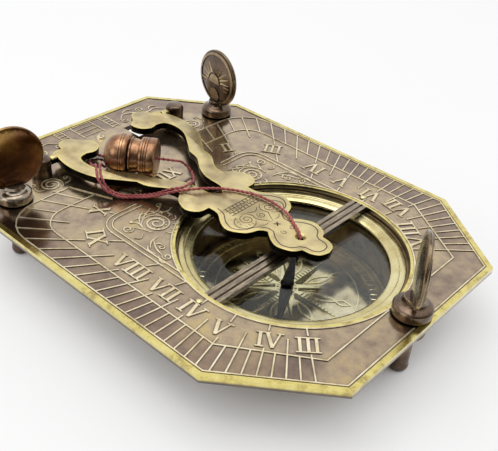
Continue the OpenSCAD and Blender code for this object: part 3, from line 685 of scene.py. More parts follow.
# %% Turned pieces
def turned(name, outline, place, finish, sides=72):
    """Spins an outline, given as radius and distance along the axis in mm, round local Z."""
    verts, faces, rings = [], [], []
    for radius, along in outline:
        if radius < 1e-6:
            rings.append([len(verts)])
            verts.append(place @ Vector((0, 0, along * MM)))
        else:
            rings.append(list(range(len(verts), len(verts) + sides)))
            for k in range(sides):
                a = 2 * math.pi * k / sides
                verts.append(place @ (Vector((radius * math.cos(a), radius * math.sin(a), along)) * MM))
    for low, high in zip(rings, rings[1:]):
        for k in range(sides):
            n = (k + 1) % sides
            if len(low) == 1:
                faces.append((low[0], high[k], high[n])[::-1])
            elif len(high) == 1:
                faces.append((low[k], low[n], high[0]))
            else:
                faces.append((low[k], low[n], high[n], high[k]))
    return piece(name, verts, faces, finish, smooth=30)


cord_end = route[-1]
print("the cord ends in the bob's cap, at", [round(value / MM, 1) for value in cord_end], "mm")

# %% Plumb bob
BOB_RADIUS = 6
BOB_BODY = 10.4
BOB_CAP = 4.6
NOSE_RADIUS = 1.6
BOB_TURN = math.radians(-55)
axis = Vector((math.cos(BOB_TURN), math.sin(BOB_TURN), 0))
lying = axis.to_track_quat("Z", "Y").to_matrix().to_4x4()
bob_place = Matrix.Translation(cord_end - axis * (BOB_BODY + BOB_CAP) * MM) @ lying

ball = [(0, 0.01), (1.2, 0.02)]
bend_radius = BOB_RADIUS - NOSE_RADIUS
for degrees in range(-80, 1, 8):
    a = math.radians(degrees)
    ball.append((NOSE_RADIUS + bend_radius * math.cos(a), bend_radius + bend_radius * math.sin(a)))
lines_on_ball = [(6, 4.9), (5.86, 4.98), (6, 5.06), (6, 5.6), (5.86, 5.68), (6, 5.76), (5.97, 6.4)]
neck = [(5.85, 6.7), (5.5, 7.0), (4.95, 7.15), (4.7, 7.35), (4.95, 7.55), (5.4, 7.65), (5.45, 8.0),
        (5.05, 8.15), (5.0, 8.4), (4.85, 9.2), (4.6, 10.1), (4.6, BOB_BODY), (0, BOB_BODY)]
bob_body = turned("plumb_bob_body", ball + lines_on_ball + neck, bob_place, copper)
settle(bob_body, "bob", "bob_body")

cap_outline = [(1.0, 0.02), (5.3, 0.02), (5.55, 0.25), (5.6, 0.5)]
for k in range(3):
    along = 0.8 + k * 0.7
    cap_outline += [(5.64, along), (5.52, along + 0.12), (5.64, along + 0.24)]
cap_outline += [(5.7, 3.0), (5.7, 3.9), (5.55, 4.35), (5.25, 4.58), (4.7, 4.59), (4.6, 4.45), (4.5, 4.59),
                (0.65, 4.59), (0.58, 4.3), (0.58, 3.6), (0, 3.6)]
cap_place = bob_place @ Matrix.Translation((0, 0, BOB_BODY * MM))
bob_cap = turned("plumb_bob_cap", [(0, 0.02)] + cap_outline, cap_place, copper)
settle(bob_cap, "bob", "bob_cap")
print("bob faces", len(bob_body.data.polygons) + len(bob_cap.data.polygons))

# %% [markdown]
# Numerals, scrolls, ladder work and engraving are all lines of some width and height that
# follow a path. One node tree makes them: it turns a path into a ribbon as wide as each point
# asks, lifts the ribbon to a solid strip, and welds the two. Each point of a path carries its
# half width and its height as attributes, so one mesh holds every stroke of a drawing.


# %% A tree that turns paths into raised strips
def start_tree(name, inputs):
    """Wiring for a tree with named inputs, and what its first node gives."""
    tree = bpy.data.node_groups.new(name, "GeometryNodeTree")
    for title, kind in inputs:
        tree.interface.new_socket(title, in_out="INPUT", socket_type="NodeSocket" + kind)
    tree.interface.new_socket("Geometry", in_out="OUTPUT", socket_type="NodeSocketGeometry")
    wires = Wiring(tree)
    return wires, wires.add("NodeGroupInput").outputs


def finish_tree(wires, given, geometry):
    """Ends a tree as the export needs it: real geometry, with its material set."""
    real = wires.add("GeometryNodeRealizeInstances", {"Geometry": geometry}).outputs[0]
    painted = {"Geometry": real, "Material": given["Material"]}
    wires.add("NodeGroupOutput", {0: wires.add("GeometryNodeSetMaterial", painted).outputs[0]})
    return wires.tree


def strip_tree():
    """Path, ribbon, solid strip: the half width and the rise are read from each point."""
    wires, given = start_tree("raised_strips", [("Geometry", "Geometry"), ("Material", "Material")])
    add = wires.add
    half = add("GeometryNodeInputNamedAttribute", {"Name": "half"}).outputs["Attribute"]
    rise = add("GeometryNodeInputNamedAttribute", {"Name": "rise"}).outputs["Attribute"]
    path = add("GeometryNodeMeshToCurve", {0: given["Geometry"]}).outputs[0]
    upright = add("GeometryNodeSetCurveNormal", {"Curve": path}, mode="Z_UP").outputs[0]
    slat = add("GeometryNodeCurvePrimitiveLine", {"Start": (-1, 0, 0), "End": (1, 0, 0)}).outputs[0]
    spread = {"Curve": upright, "Profile Curve": slat, "Scale": half}
    ribbon = add("GeometryNodeCurveToMesh", spread).outputs[0]
    straight_up = add("ShaderNodeCombineXYZ", {"Z": 1}).outputs[0]
    raised = {"Mesh": ribbon, "Offset": straight_up, "Offset Scale": rise, "Individual": False}
    top = add("GeometryNodeExtrudeMesh", raised).outputs["Mesh"]
    under = add("GeometryNodeFlipFaces", {"Mesh": ribbon}).outputs[0]
    both = add("GeometryNodeJoinGeometry", {0: top})
    wires.link(under, both.inputs[0])
    weld = add("GeometryNodeMergeByDistance", {"Geometry": both.outputs[0], "Distance": 1e-6})
    return finish_tree(wires, given, weld.outputs[0])


raised_strips = strip_tree()
print("nodes in the strip tree:", len(raised_strips.nodes))

# %% [markdown]
# A tree runs as a modifier on a mesh. Its result is taken out as a plain mesh, laid on a curved
# face where there is one, and moved to its place, so that the object itself stays unmoved and
# unturned at the origin, as the solids do.


# %% Run a tree and keep a plain mesh
SMOOTH_STRIP = 35


def grown(name, mesh, tree, finish, place, bend=None, **sizes):
    """Runs a tree on a mesh, lays the result on a surface and moves it to its place."""
    obj = bpy.data.objects.new(name, mesh)
    bpy.context.scene.collection.objects.link(obj)
    step = obj.modifiers.new("grow", "NODES")
    step.node_group = tree
    sockets = {s.name: s.identifier for s in tree.interface.items_tree if s.in_out == "INPUT"}
    for title, value in sizes.items():
        step[sockets[title]] = value
    step[sockets["Material"]] = finish.material
    graph = bpy.context.evaluated_depsgraph_get()
    result = bpy.data.meshes.new_from_object(obj.evaluated_get(graph))
    obj.modifiers.clear()
    obj.data = result
    if bend:
        for vertex in result.vertices:
            vertex.co.z += bend(vertex.co.x, vertex.co.y)
    result.transform(place)
    bm = bmesh.new()
    bm.from_mesh(result)
    bmesh.ops.recalc_face_normals(bm, faces=bm.faces)
    bm.to_mesh(result)
    bm.free()
    soften(obj, SMOOTH_STRIP)
    return obj


def strips(name, strokes, finish, place, sink=0.05, bend=None):
    """Strokes are a path in mm, its half width or one for each point, and its height."""
    verts, edges, halves, rises = [], [], [], []
    for points, half, rise in strokes:
        first = len(verts)
        for i, (x, y) in enumerate(points):
            verts.append((x * MM, y * MM, -sink * MM))
            halves.append((half[i] if isinstance(half, list) else half) * MM)
            rises.append((rise + sink) * MM)
            if i:
                edges.append((first + i - 1, first + i))
    mesh = bpy.data.meshes.new(name)
    mesh.from_pydata(verts, edges, [])
    for title, values in (("half", halves), ("rise", rises)):
        mesh.attributes.new(title, "FLOAT", "POINT").data.foreach_set("value", values)
    return grown(name, mesh, raised_strips, finish, place, bend)


sockets = [s.name for s in raised_strips.interface.items_tree if s.in_out == "INPUT"]
print("the strip tree's inputs:", ", ".join(sockets))

# %% [markdown]
# The numerals are cast Roman letters. A letter is a few strokes: thick stems, thin slants and
# short bars at the ends. Each numeral stands where the hour lines stop, turned to face the
# compass. The stroke heights differ a little, so that no two tops lie in one plane.

# %% Places of the numerals
on_plate = Matrix.Translation((0, 0, PLATE_TOP))
LETTER_HALF = 2.4
STEM, HAIR, BAR = 0.36, 0.2, 0.16
V_ARM, X_ARM = 1.35, 1.3
LETTER_WIDTH = {"I": 1.7, "V": 3.7, "X": 3.7}
# Each row: the numeral, its place in mm, its turn in degrees and how wide it is set
NUMERALS = [("VIII", -36, -3.2, -90, 1.2), ("VII", -36, -15, -90, 1.15), ("IV", -36.2, -24.4, -90, 1.1),
            ("IX", -34.5, 11.9, -120, 1.3), ("X", -26, 21, -152, 1.15), ("XI", -13.4, 22.9, -165, 1),
            ("XII", 0.5, 22.5, 180, 1), ("V", -36, -33, -77, 1.15), ("IV", -31, -43, -55, 1.1),
            ("III", -26, -50, -48, 1.1), ("I", 13.4, 22.9, 165, 1), ("II", 25, 22, 152, 1.1),
            ("III", 35, 12, 120, 1.15), ("IV", 35.5, -4, 90, 1.15), ("V", 35.5, -14, 90, 1.15),
            ("VI", 35.8, -24, 90, 1.05), ("VII", 36, -33, 77, 1.1), ("VIII", 27.8, -42.6, 55, 1.28)]
print("numerals", len(NUMERALS))


# %% Strokes of the numerals
def letter(kind, x, wide):
    """Strokes of one letter whose middle is at x, on a line through y = 0."""
    top = LETTER_HALF
    bars = []
    if kind == "I":
        strokes = [([(x, -top), (x, top)], STEM, 0.24)]
        bars = [(x, -top, 0.86), (x, top, 0.86)]
    elif kind == "V":
        arm = V_ARM * wide
        strokes = [([(x - arm, top), (x, -top)], STEM * 1.1, 0.25),
                   ([(x + arm, top), (x, -top)], HAIR, 0.235)]
        bars = [(x - arm, top, 0.7), (x + arm, top, 0.7)]
    else:
        arm = X_ARM * wide
        strokes = [([(x - arm, top), (x + arm, -top)], STEM * 1.1, 0.25),
                   ([(x + arm, top), (x - arm, -top)], HAIR * 1.2, 0.235)]
        bars = [(x + side, t, 0.66) for side in (-arm, arm) for t in (-top, top)]
    for middle, level, reach in bars:
        y = math.copysign(top - BAR, level)
        ends = [(middle - reach * wide, y), (middle + reach * wide, y)]
        strokes.append((ends, BAR, 0.22 + 0.001 * len(strokes)))
    return strokes


def numeral(text, x, y, turn_deg, wide):
    """Strokes of a numeral centred on its place, its letters set one after the other."""
    along = -sum(LETTER_WIDTH[c] for c in text) * wide / 2
    cos, sin = math.cos(math.radians(turn_deg)), math.sin(math.radians(turn_deg))
    out = []
    for i, c in enumerate(text):
        middle = along + LETTER_WIDTH[c] * wide / 2
        along += LETTER_WIDTH[c] * wide
        for points, half, rise in letter(c, middle, wide):
            moved = [(x + p * cos - q * sin, y + p * sin + q * cos) for p, q in points]
            out.append((moved, half, rise + 0.002 * i))
    return out


strokes = [s for row in NUMERALS for s in numeral(*row)]
settle(strips("dial_numerals", strokes, relief_brass, on_plate), "base")
print("strokes of the numerals:", len(strokes))

# %% [markdown]
# Between the dial lines and the compass lie cast scrolls: a large spiral with curls and leaf
# strokes growing from it. Smaller ones fill the noon corners. Each stroke is thick in its
# middle and thin at its ends. All are drawn once, for the west, and mirrored to the east.


# %% Strokes of a scroll
STEPS_A_TURN = 16


def spiral(x, y, outer, inner, start, turns):
    """A spiral from its outer end inwards. Degrees count from +X towards +Y."""
    count = max(6, round(abs(turns) * STEPS_A_TURN))
    out = []
    for i in range(count + 1):
        a = math.radians(start + 360 * turns * i / count)
        r = outer + (inner - outer) * i / count
        out.append((x + r * math.cos(a), y + r * math.sin(a)))
    return out


def swing(points, steps=5):
    """A smooth path through a few points."""
    return [(p.x, p.y) for p in rounded([Vector((x, y, 0)) for x, y in points], steps)]


def swelling(points, thick, thin=0.09, rise=0.17):
    """A stroke that is thickest in its middle."""
    last = len(points) - 1
    return (points, [thin + (thick - thin) * math.sin(math.pi * i / last) for i in range(last + 1)], rise)


def dot(x, y, r, rise):
    """A round spot: a short stroke whose half width follows a circle."""
    halves = [0.01, r * 0.7, r * 0.9, r, r * 0.9, r * 0.7, 0.01]
    return (swing([(x - r, y), (x, y), (x + r, y)], 3), halves, rise)


def mirrored(strokes):
    """The strokes and their mirror images across the noon line."""
    return strokes + [([(-x, y) for x, y in points], half, rise) for points, half, rise in strokes]


def curl(x, y, outer, inner, start, turns, thick):
    return swelling(spiral(x, y, outer, inner, start, turns), thick)


def sweep(thick, *points):
    return swelling(swing(points), thick)


print("points on a path of three, smoothed:", len(swing([(0, 0), (1, 1), (2, 0)])))

# %% The large scroll
SWIRL_X, SWIRL_Y = -18.8, 6.3


def round_swirl(radius, a):
    return (SWIRL_X + radius * math.cos(a), SWIRL_Y + radius * math.sin(a))


big = [swelling(spiral(SWIRL_X, SWIRL_Y, 4.4, 0.5, 210, -2.6), 0.24, 0.12, 0.18),
       curl(-26.2, 9.3, 1.6, 0.3, -20, -1.5, 0.2),
       sweep(0.22, (-24.6, 8.9), (-23.6, 7.2), (-22.6, 4.4)),
       sweep(0.24, (-22.8, 7.6), (-22.4, 9.4), (-23.2, 10.9)), dot(-23.5, 11.1, 0.5, 0.2)]
leaves = [[(-22.2, 9.2), (-20.4, 11.4), (-17.8, 12.9)], [(-20.6, 10.2), (-18.2, 11.4), (-15.4, 12.6)],
          [(-17.4, 10.7), (-14.9, 10.4), (-12.8, 11.5)], [(-15.2, 9.6), (-12.6, 8.6), (-10.6, 9.2)],
          [(-24.8, 5.2), (-26.4, 4.2), (-27.6, 5.2)], [(-22.8, 1.6), (-25.4, 1.2), (-27.4, -0.6)],
          [(-27.2, 0.6), (-28.4, -1), (-28.2, -3.4)], [(-24.6, 1.2), (-26.4, -1.6), (-27.3, -4.8)],
          [(-25.6, -0.4), (-24.6, -0.6), (-24.2, -1.4)], [(-28.3, -4.6), (-29.2, -6.4), (-28.6, -8.4)]]
big += [sweep(0.22, *leaf) for leaf in leaves]
big += [curl(-12.3, 12.3, 1.0, 0.2, 250, -1.2, 0.18), curl(-25.1, -2.3, 1.0, 0.2, 60, -1.3, 0.16),
        curl(-26.8, -6.1, 1.3, 0.25, 110, 1.4, 0.18)]
for k in range(9):
    a = math.radians(-100 + 26 * k)
    frond = [round_swirl(4.3, a), round_swirl(5.4, a + 0.05), round_swirl(6.1, a + 0.3)]
    big.append(swelling(swing(frond, 3), 0.2, 0.08, 0.15 + 0.002 * k))
for k in range(12):
    big.append(dot(*round_swirl(2.5, math.radians(30 * k)), 0.24, 0.12 + 0.001 * k))
print("strokes in the large scroll:", len(big))

# %% Corner scrolls and noon flourishes
noon_corner = [swelling(spiral(-27.8, 40, 3.4, 0.4, 300, 2.4), 0.22, 0.1, 0.17),
               sweep(0.2, (-24.6, 38), (-22.4, 38.4), (-21.6, 40.2)),
               curl(-22.5, 40.4, 0.9, 0.2, 0, 1.2, 0.16),
               sweep(0.2, (-31.2, 38.6), (-32.6, 39.6), (-32.4, 41.6)),
               curl(-31.8, 42.6, 0.9, 0.2, -120, -1.2, 0.16),
               sweep(0.2, (-29.8, 36.7), (-27.4, 35.4), (-24.8, 36.3))]
flourish = [sweep(0.24, (12.4, 57.4), (15.4, 59.8), (19.2, 58.4), (22.6, 56.2), (26.2, 56.6), (28.6, 54.4)),
            curl(13.3, 56.2, 1.3, 0.3, 120, 1.3, 0.18), curl(21.9, 59, 1.5, 0.3, 200, -1.3, 0.18),
            curl(19.3, 55.6, 1.6, 0.3, 60, 1.3, 0.18), curl(27.4, 52.9, 1.2, 0.3, 60, -1.3, 0.16),
            sweep(0.2, (24.2, 57.2), (25.8, 58.6), (28.2, 57.8)),
            sweep(0.18, (15.6, 60.6), (17.8, 61.6), (20, 60.9))]
scrolls = mirrored(big) + mirrored(noon_corner) + mirrored(flourish)
settle(strips("dial_scrolls", scrolls, relief_brass, on_plate), "base")
print("scroll strokes", len(scrolls))

# %% [markdown]
# At the noon side the hours end in a small panel of crossed lines, and two round rivet heads
# sit where the bridge bar meets the plate. The panel is drawn with the same strips, and the
# rivets are spun on the same lathe as the bob.

# %% Noon panel and rivets
LADDER_TOP, LADDER_LOW = 63, 55
ladder = [([(x, LADDER_LOW), (x, LADDER_TOP)], 0.13, 0.16) for x in (-10, -7.4, -3.8, 3.8, 7.4, 10)]
ladder += [([(-3.8, y), (3.8, y)], 0.12, 0.145) for y in (56, 58.4, 60.8)]
rungs = (55.6, 57.2, 58.8, 60.4, 62)
ladder += [([(side * 7.4, y), (side * 10, y)], 0.12, 0.145) for side in (-1, 1) for y in rungs]
ladder += [([(-10, LADDER_TOP), (10, LADDER_TOP)], 0.13, 0.15)]
settle(strips("noon_ladder", ladder, relief_brass, on_plate), "base")

RIVET = [(0, -0.05), (0.95, -0.05), (0.95, 0.1), (0.8, 0.4), (0.45, 0.62), (0, 0.7)]
for side, name in ((-1, "west"), (1, "east")):
    rivet_place = Matrix.Translation((side * 33 * MM, -23.5 * MM, PLATE_TOP))
    rivet = turned(f"bar_rivet_{name}", RIVET, rivet_place, bright_brass, 24)
    settle(rivet, "base")
print("lines in the noon panel:", len(ladder))

# %% [markdown]
# The bracket is engraved: a line runs inside its outline, a band crosses the body, and
# scrollwork fills the field below the band. Engraving holds dark wax, so each line is a dark
# inlay that stands only a few hundredths of a millimetre above the face.

# %% Border line inside the bracket's outline
BRACKET_FACE = PLATE_TOP + 4.1 * MM
on_bracket = Matrix.Translation((0, 0, BRACKET_FACE))
OUTLINE = [[(0, -35.6), (2.5, -34.8), (3.8, -32.8), (4.1, -30.4)],
           [(4.1, -30.4), (6.4, -28.9), (7.7, -25.2), (6.6, -22.2), (4.4, -19.4)],
           [(4.4, -19.4), (5.6, -17.6), (9, -16.2), (11.6, -12.2), (10.6, -8.8), (8, -5.2), (7.7, -1.8)],
           [(7.7, -1.8), (11, -1.4), (13, 1.8)]]
INSET = 1.45


def inset_line():
    """The outline moved inwards, without the points where it would cross itself."""
    right = [p for part in OUTLINE for p in swing(part, 6)]
    edge = right[::-1] + [(-x, y) for x, y in right]
    out = []
    for i in range(2, len(edge) - 2):
        (ax, ay), (bx, by) = edge[i - 1], edge[i + 1]
        length = math.hypot(bx - ax, by - ay)
        if length < 1e-6:
            continue
        x, y = edge[i][0] + (by - ay) / length * INSET, edge[i][1] - (bx - ax) / length * INSET
        if y > -3.4 or min(math.hypot(x - p, y - q) for p, q in edge) < INSET - 0.06:
            continue
        out.append((x, y))
    return out


border = inset_line()
print("border points", len(border))


# %% Band and field
def cut_line(*points, thick=0.12, thin=0.07, rise=0.02):
    return swelling(swing(points), thick, thin, rise)


engraved = [(border, 0.14, 0.02)]
for y in (-5.3, -6.4, -7.5, -8.6):
    engraved.append(([(-5.9, y), (5.9, y)], 0.11, 0.022))
for row, shift in ((-5.85, 0), (-8.05, 0.65)):
    for k in range(-4, 5):
        x = k * 1.3 + shift
        if abs(x) < 5.6:
            engraved.append(([(x, row - 0.5), (x, row + 0.5)], 0.14, 0.018))
for k in range(-5, 5):
    engraved.append(([(k * 1.15 + 0.2, -6.95), (k * 1.15 + 0.95, -6.95)], 0.13, 0.018))
field = [swelling(spiral(-4.3, -12.2, 2.0, 0.3, 80, 1.7), 0.11, 0.07, 0.02),
         cut_line((-5.8, -9.7), (-7.9, -11), (-8.6, -13.2), (-6.9, -15.2), (-4.6, -15.4), (-3, -14.2),
                  rise=0.024),
         cut_line((-3.6, -9.6), (-2.4, -10.6), (-1.9, -12), (-2.3, -13.6), (-1.4, -15.2), (-0.3, -17.2),
                  rise=0.022),
         cut_line((-1.9, -10), (-0.9, -10.9), (0, -11.2), thick=0.1, thin=0.06, rise=0.026),
         cut_line((-3.9, -16.1), (-2.9, -17), (-1.2, -17), thick=0.1, thin=0.06),
         swelling(spiral(-1.5, -22.4, 0.9, 0.2, 100, 1.2), 0.09, 0.06, 0.02)]
for k in range(3):
    field.append(([(-6.1 - 0.5 * k, -10.6 - 1.1 * k), (-6.9 - 0.3 * k, -10.2 - 1.2 * k)], 0.08, 0.018))
for k in range(3):
    field.append(([(-6.6 + 1.0 * k, -14.6 - 0.2 * k), (-6.9 + 1.2 * k, -13.8 - 0.1 * k)], 0.08, 0.018))
engraved += mirrored(field)
engraved.append(swelling(spiral(0, -13.4, 1.25, 0.25, 90, 1.6), 0.11, 0.07, 0.019))
CROSS_Y = -18.9
for degrees in (45, 135):
    dx, dy = math.cos(math.radians(degrees)), math.sin(math.radians(degrees))
    beam = [(dx * t, CROSS_Y + dy * t) for t in (-1, -0.5, 0, 0.5, 1)]
    engraved.append(swelling(beam, 0.24, 0.1, 0.02 + degrees / 1e5))
settle(strips("bracket_engraving", engraved, ink, on_bracket, 0.02), "bracket")
print("engraved strokes", len(engraved))

# %% [markdown]
# Each thumb disc carries a rising half sun: a raised edge, a horizon and a fan of rays. The
# rays repeat, so a second tree makes them, with their number, arc and sizes as its inputs. It
# also makes the degree marks of the compass card, because those are blunt rays on a full ring.


# %% A tree that fans out rays
def fan_tree():
    """A four-sided cone laid flat is one ray; copies of it stand round a centre."""
    numbers = ("Radius", "Start", "Step", "Length", "Half width", "Rise", "Blunt")
    inputs = [("Geometry", "Geometry"), ("Count", "Int")] + [(title, "Float") for title in numbers]
    wires, given = start_tree("ray_fan", inputs + [("Material", "Material")])
    add = wires.add
    number = add("GeometryNodeInputIndex").outputs[0]
    steps = {0: number, 1: given["Step"], 2: given["Start"]}
    angle = add("ShaderNodeMath", steps, operation="MULTIPLY_ADD").outputs[0]
    outward = add("ShaderNodeCombineXYZ", {"X": given["Radius"]}).outputs[0]
    swung = {"Vector": outward, "Angle": angle}
    place = add("ShaderNodeVectorRotate", swung, rotation_type="Z_AXIS").outputs[0]
    row = add("GeometryNodeMeshLine", {"Count": given["Count"]}).outputs[0]
    points = add("GeometryNodeSetPosition", {"Geometry": row, "Position": place}).outputs[0]
    spike = {"Vertices": 4, "Radius Top": given["Blunt"], "Radius Bottom": 1, "Depth": 1}
    cone = add("GeometryNodeMeshCone", spike).outputs["Mesh"]
    sizes = {"X": given["Rise"], "Y": given["Half width"], "Z": given["Length"]}
    size = add("ShaderNodeCombineXYZ", sizes).outputs[0]
    ray = add("GeometryNodeTransform", {"Geometry": cone, "Scale": size}).outputs[0]
    flat = add("GeometryNodeTransform", {"Geometry": ray, "Rotation": (0, math.pi / 2, 0)}).outputs[0]
    turned_by = add("ShaderNodeCombineXYZ", {"Z": angle}).outputs[0]
    copies = {"Points": points, "Instance": flat, "Rotation": turned_by}
    fan = add("GeometryNodeInstanceOnPoints", copies).outputs[0]
    return finish_tree(wires, given, fan)


ray_fan = fan_tree()
print("inputs of the ray tree:", len(ray_fan.interface.items_tree) - 1)

# %% Half suns on the thumb discs
DISC_R = 9.1
DISC_HALF = 1.3
DISC_EDGE = 0.5
DISC_CENTRE_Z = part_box("thumb_disc_ne")[0][2] + DISC_R * MM
HORIZON = -0.9


def disc_face(x, y):
    """How far the disc's rounded face stands out from its middle plane, in metres."""
    t = (math.hypot(x, y) / MM / DISC_R - 0.3) / 0.68
    return (DISC_HALF if t < 0 else DISC_EDGE + (DISC_HALF - DISC_EDGE) * (1 - min(t, 1) ** 2)) * MM


def circle(r, steps=48):
    angles = [math.radians(360 * i / steps) for i in range(steps + 1)]
    return [(r * math.cos(a), r * math.sin(a)) for a in angles]


def half_disc(r, y):
    """The upper half of a disc on the line at this height, as one wide stroke."""
    heights = (-0.16, 0, 0.32, 0.68, 0.92, 1)
    halves = (1, 1, 0.948, 0.732, 0.392, 0.04)
    return ([(0, y + r * h) for h in heights], [r * w for w in halves], 0.42)


# Each row: the screw, its disc's turn in degrees and which of its two faces shows the sun
for corner, turn_deg, side in (("ne", 81, -1), ("nw", 165, 1), ("s", 31, 1)):
    low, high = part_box(f"thumb_disc_{corner}")
    centre = Vector(((low[0] + high[0]) / 2, (low[1] + high[1]) / 2, DISC_CENTRE_Z))
    along = Vector((math.cos(math.radians(turn_deg)), math.sin(math.radians(turn_deg)), 0)) * side
    normal = along.cross(Vector((0, 0, 1)))
    place = Matrix.Translation(centre) @ Matrix((along, (0, 0, 1), normal)).transposed().to_4x4()
    sun = [(circle(8.05), 0.38, 0.26), ([(-6.9, HORIZON - 0.5), (6.9, HORIZON - 0.5)], 0.34, 0.3),
           ([(-6.3, HORIZON - 1.7), (6.3, HORIZON - 1.7)], 0.16, 0.2), dot(0, HORIZON - 4.6, 2.4, 0.34),
           half_disc(2.5, HORIZON)]
    body = f"head_{corner}"
    settle(strips(f"disc_sun_{corner}", sun, sun_bronze, place, 0.12, disc_face), body)
    fan_place = place @ Matrix.Translation((0, HORIZON * MM, 0))
    empty = bpy.data.meshes.new(f"disc_rays_{corner}")
    rays = grown(f"disc_rays_{corner}", empty, ray_fan, sun_bronze, fan_place,
                 lambda x, y: disc_face(x, y + HORIZON * MM), Count=11, Radius=3.1 * MM,
                 Start=math.radians(5), Step=math.radians(17), Length=3.7 * MM, Rise=0.42 * MM,
                 Blunt=0.15, **{"Half width": 0.62 * MM})
    settle(rays, body)
print("rays", len(rays.data.polygons), "faces on each disc")

# %% [markdown]
# The compass card is dark with a gilt rose. Eight pointed arms are split down their middle
# into a light and a dark half, as on printed cards, and the long arms are crossed by fine
# hatching. Degree marks run round the edge.

# %% Compass rose
CARD_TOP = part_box("compass_card")[1][2]
ARMS = 8
LONG_ARM, SHORT_ARM = 17.4, 12.6
LONG_WAIST, SHORT_WAIST = 4.6, 3.4
HUB = 1.9
on_card = Matrix.Translation((0, WELL_Y, CARD_TOP))


def prisms(name, shapes, finish, place, thick=0.06):
    """Thin flat tiles, each given by its corners in mm."""
    verts, faces = [], []
    for corners in shapes:
        first, n = len(verts), len(corners)
        for z in (0.01, thick):
            verts += [place @ (Vector((x, y, z)) * MM) for x, y in corners]
        faces.append([first + k for k in reversed(range(n))])
        faces.append([first + n + k for k in range(n)])
        faces += [(first + k, first + (k + 1) % n, first + n + (k + 1) % n, first + n + k) for k in range(n)]
    return piece(name, verts, faces, finish, smooth=20)


def polar(r, a):
    return (r * math.cos(a), r * math.sin(a))


light, shade = [], []
for k in range(ARMS):
    a = math.radians(45 * k)
    reach, waist = (SHORT_ARM, SHORT_WAIST) if k % 2 else (LONG_ARM, LONG_WAIST)
    root, tip = polar(HUB, a), polar(reach, a)
    light.append([root, tip, polar(waist, a + math.radians(22.5))])
    shade.append([root, polar(waist, a - math.radians(22.5)), tip])
settle(prisms("rose_light", light, card_gold, on_card), "base")
settle(prisms("rose_shade", shade, card_shade, on_card), "base")
print("rose tiles:", len(light) + len(shade))


# %% Hatching, rings and degree marks
def spoke(a, *points):
    """Points given along a spoke and to its left, turned to its angle."""
    cos, sin = math.cos(a), math.sin(a)
    return [(r * cos - q * sin, r * sin + q * cos) for r, q in points]


HATCH_LINES, HATCH_STEP = 11, 1.1
HATCH_WIDE, HATCH_TAPER = 1.55, 13
hatch = []
for k in range(4):
    for i in range(HATCH_LINES):
        r = LONG_WAIST + i * HATCH_STEP
        wide = HATCH_WIDE * (LONG_ARM - r) / HATCH_TAPER
        hatch.append((spoke(math.pi / 2 * k, (r, 0.1), (r, wide)), 0.14, 0.1))
settle(strips("rose_hatching", hatch, ink, on_card, 0), "base")

LEAF = ((5.5, 0), (9, 1.1), (12.6, 0.5), (15.2, -1), (17.6, 0.2))
rings = [(circle(r, 72), 0.12, 0.05) for r in (24.4, 22.2, 19)] + [(circle(2.9, 32), 0.16, 0.09)]
for k in range(ARMS):
    a = math.radians(45 * k + 22.5)
    rings.append(swelling(swing(spoke(a, *LEAF), 4), 0.28, 0.1, 0.055))
    rings.append(swelling(swing(spoke(a, *[(r, -q) for r, q in LEAF]), 4), 0.28, 0.1, 0.058))
settle(strips("card_rings", rings, card_gold, on_card, 0), "base")

DEGREE_MARKS = 72
marks = grown("degree_marks", bpy.data.meshes.new("degree_marks"), ray_fan, card_gold, on_card,
              Count=DEGREE_MARKS, Radius=22.4 * MM, Start=0.0, Step=2 * math.pi / DEGREE_MARKS,
              Length=1.8 * MM, Rise=0.06 * MM, Blunt=1.0, **{"Half width": 0.16 * MM})
settle(marks, "base")
print("degree marks", DEGREE_MARKS)

# %% [markdown]
# The light is a plain soft studio: a pale floor, and a white surround behind and above the
# object. In front, where the photographer stands, the room is darker, so the sides that face
# the camera fall dark as polished metal does. The floor is partly its own white, and the rest
# of it takes light. Its own white fades where the plate hangs close over it, so that the
# shadow under the plate stays, also where it is seen through the slots.


# %% Floor
OWN_WHITE = 0.4
SHADE_REACH_MM = 30


def seen_white(wires):
    """1 for a ray from the camera, or one that a metal or glass surface sends on."""
    ray = wires.add("ShaderNodeLightPath").outputs
    straight = wires.maths("MAXIMUM", ray["Is Camera Ray"], ray["Is Glossy Ray"])
    return wires.maths("MAXIMUM", straight, ray["Is Transmission Ray"])


def floor_material():
    """Pale paint with some white of its own, less of it close under the plate."""
    mat = bpy.data.materials.new("studio_floor")
    mat.use_nodes = True
    mat.node_tree.nodes.clear()
    wires = Wiring(mat.node_tree)
    paint = wires.add("ShaderNodeBsdfDiffuse", {"Color": (0.9, 0.9, 0.9, 1)}).outputs[0]
    glow = wires.add("ShaderNodeEmission", {"Color": (1, 1, 1, 1)}).outputs[0]
    white = wires.level(wires.openness(SHADE_REACH_MM), 0.2, 0.5, 0, OWN_WHITE)
    share = wires.maths("MULTIPLY", seen_white(wires), white)
    both = wires.add("ShaderNodeMixShader", {0: share, 1: paint, 2: glow})
    wires.add("ShaderNodeOutputMaterial", {"Surface": both.outputs[0]})
    return mat


FLOOR = 4
floor_corners = [(-FLOOR, -FLOOR, 0), (FLOOR, -FLOOR, 0), (FLOOR, FLOOR, 0), (-FLOOR, FLOOR, 0)]
floor_mesh = bpy.data.meshes.new("studio_floor")
floor_mesh.from_pydata(floor_corners, [], [(0, 1, 2, 3)])
floor = bpy.data.objects.new("studio_floor", floor_mesh)
floor.data.materials.append(floor_material())
bpy.context.scene.collection.objects.link(floor)
print("floor", 2 * FLOOR, "m wide")

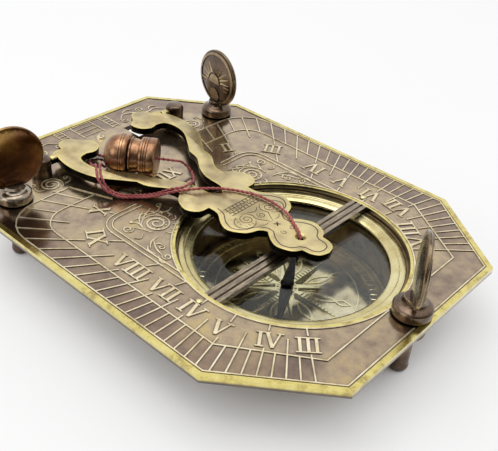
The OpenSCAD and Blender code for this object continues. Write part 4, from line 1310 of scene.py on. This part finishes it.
# %% [markdown]
# Polished metal shows its surroundings, so they are lit on purpose. The white side stands
# behind the object and above it, and it fades into the dark room in front. A ray that comes
# straight from the camera sees plain white instead, as the photograph's backdrop is.

# %% Surround
WHITE_SIDE = Vector((0.5, 0.5, 0.7)).normalized()
DARK_LEVEL, PALE_LEVEL = 0.05, 0.95
FADE_FROM, FADE_TO = -0.25, 0.55
world = bpy.data.worlds.new("studio")
bpy.context.scene.world = world
world.use_nodes = True
world.node_tree.nodes.clear()
wires = Wiring(world.node_tree)
way = wires.add("ShaderNodeTexCoord").outputs["Generated"]
toward = wires.add("ShaderNodeVectorMath", {0: way, 1: WHITE_SIDE}, operation="DOT_PRODUCT")
strength = wires.level(toward.outputs["Value"], FADE_FROM, FADE_TO, DARK_LEVEL, PALE_LEVEL,
                       interpolation_type="SMOOTHSTEP")
room = wires.add("ShaderNodeBackground", {"Color": (1, 1, 1, 1), "Strength": strength}).outputs[0]
backdrop = wires.add("ShaderNodeBackground", {"Color": (1, 1, 1, 1)}).outputs[0]
from_camera = wires.add("ShaderNodeLightPath").outputs["Is Camera Ray"]
both = wires.add("ShaderNodeMixShader", {0: from_camera, 1: room, 2: backdrop})
wires.add("ShaderNodeOutputWorld", {"Surface": both.outputs[0]})
print("darkest part of the room", DARK_LEVEL)

# %% [markdown]
# Two soft lamps do the rest. One hangs overhead and gives the plate its even light and its
# shadow. A weak one on the left lights the sides of the discs and of the bob.


# %% Lamps
def lamp(name, place, size, power):
    """A square lamp, its place and size in metres and its power in watts, aimed at the plate."""
    data = bpy.data.lights.new(name, "AREA")
    data.shape = "SQUARE"
    data.size = size
    data.energy = power
    obj = bpy.data.objects.new(name, data)
    obj.location = place
    toward_plate = Vector((0, 0, PLATE_TOP)) - Vector(place)
    obj.rotation_euler = toward_plate.to_track_quat("-Z", "Y").to_euler()
    bpy.context.scene.collection.objects.link(obj)
    return obj


lamp("top_lamp", (-0.05, 0.15, 1.0), size=0.8, power=3.6)
lamp("left_lamp", (-0.75, 0.15, 0.42), size=0.4, power=0.9)
bpy.context.scene.view_settings.view_transform = "Standard"
print("lamps", len(bpy.data.lights))

# %% [markdown]
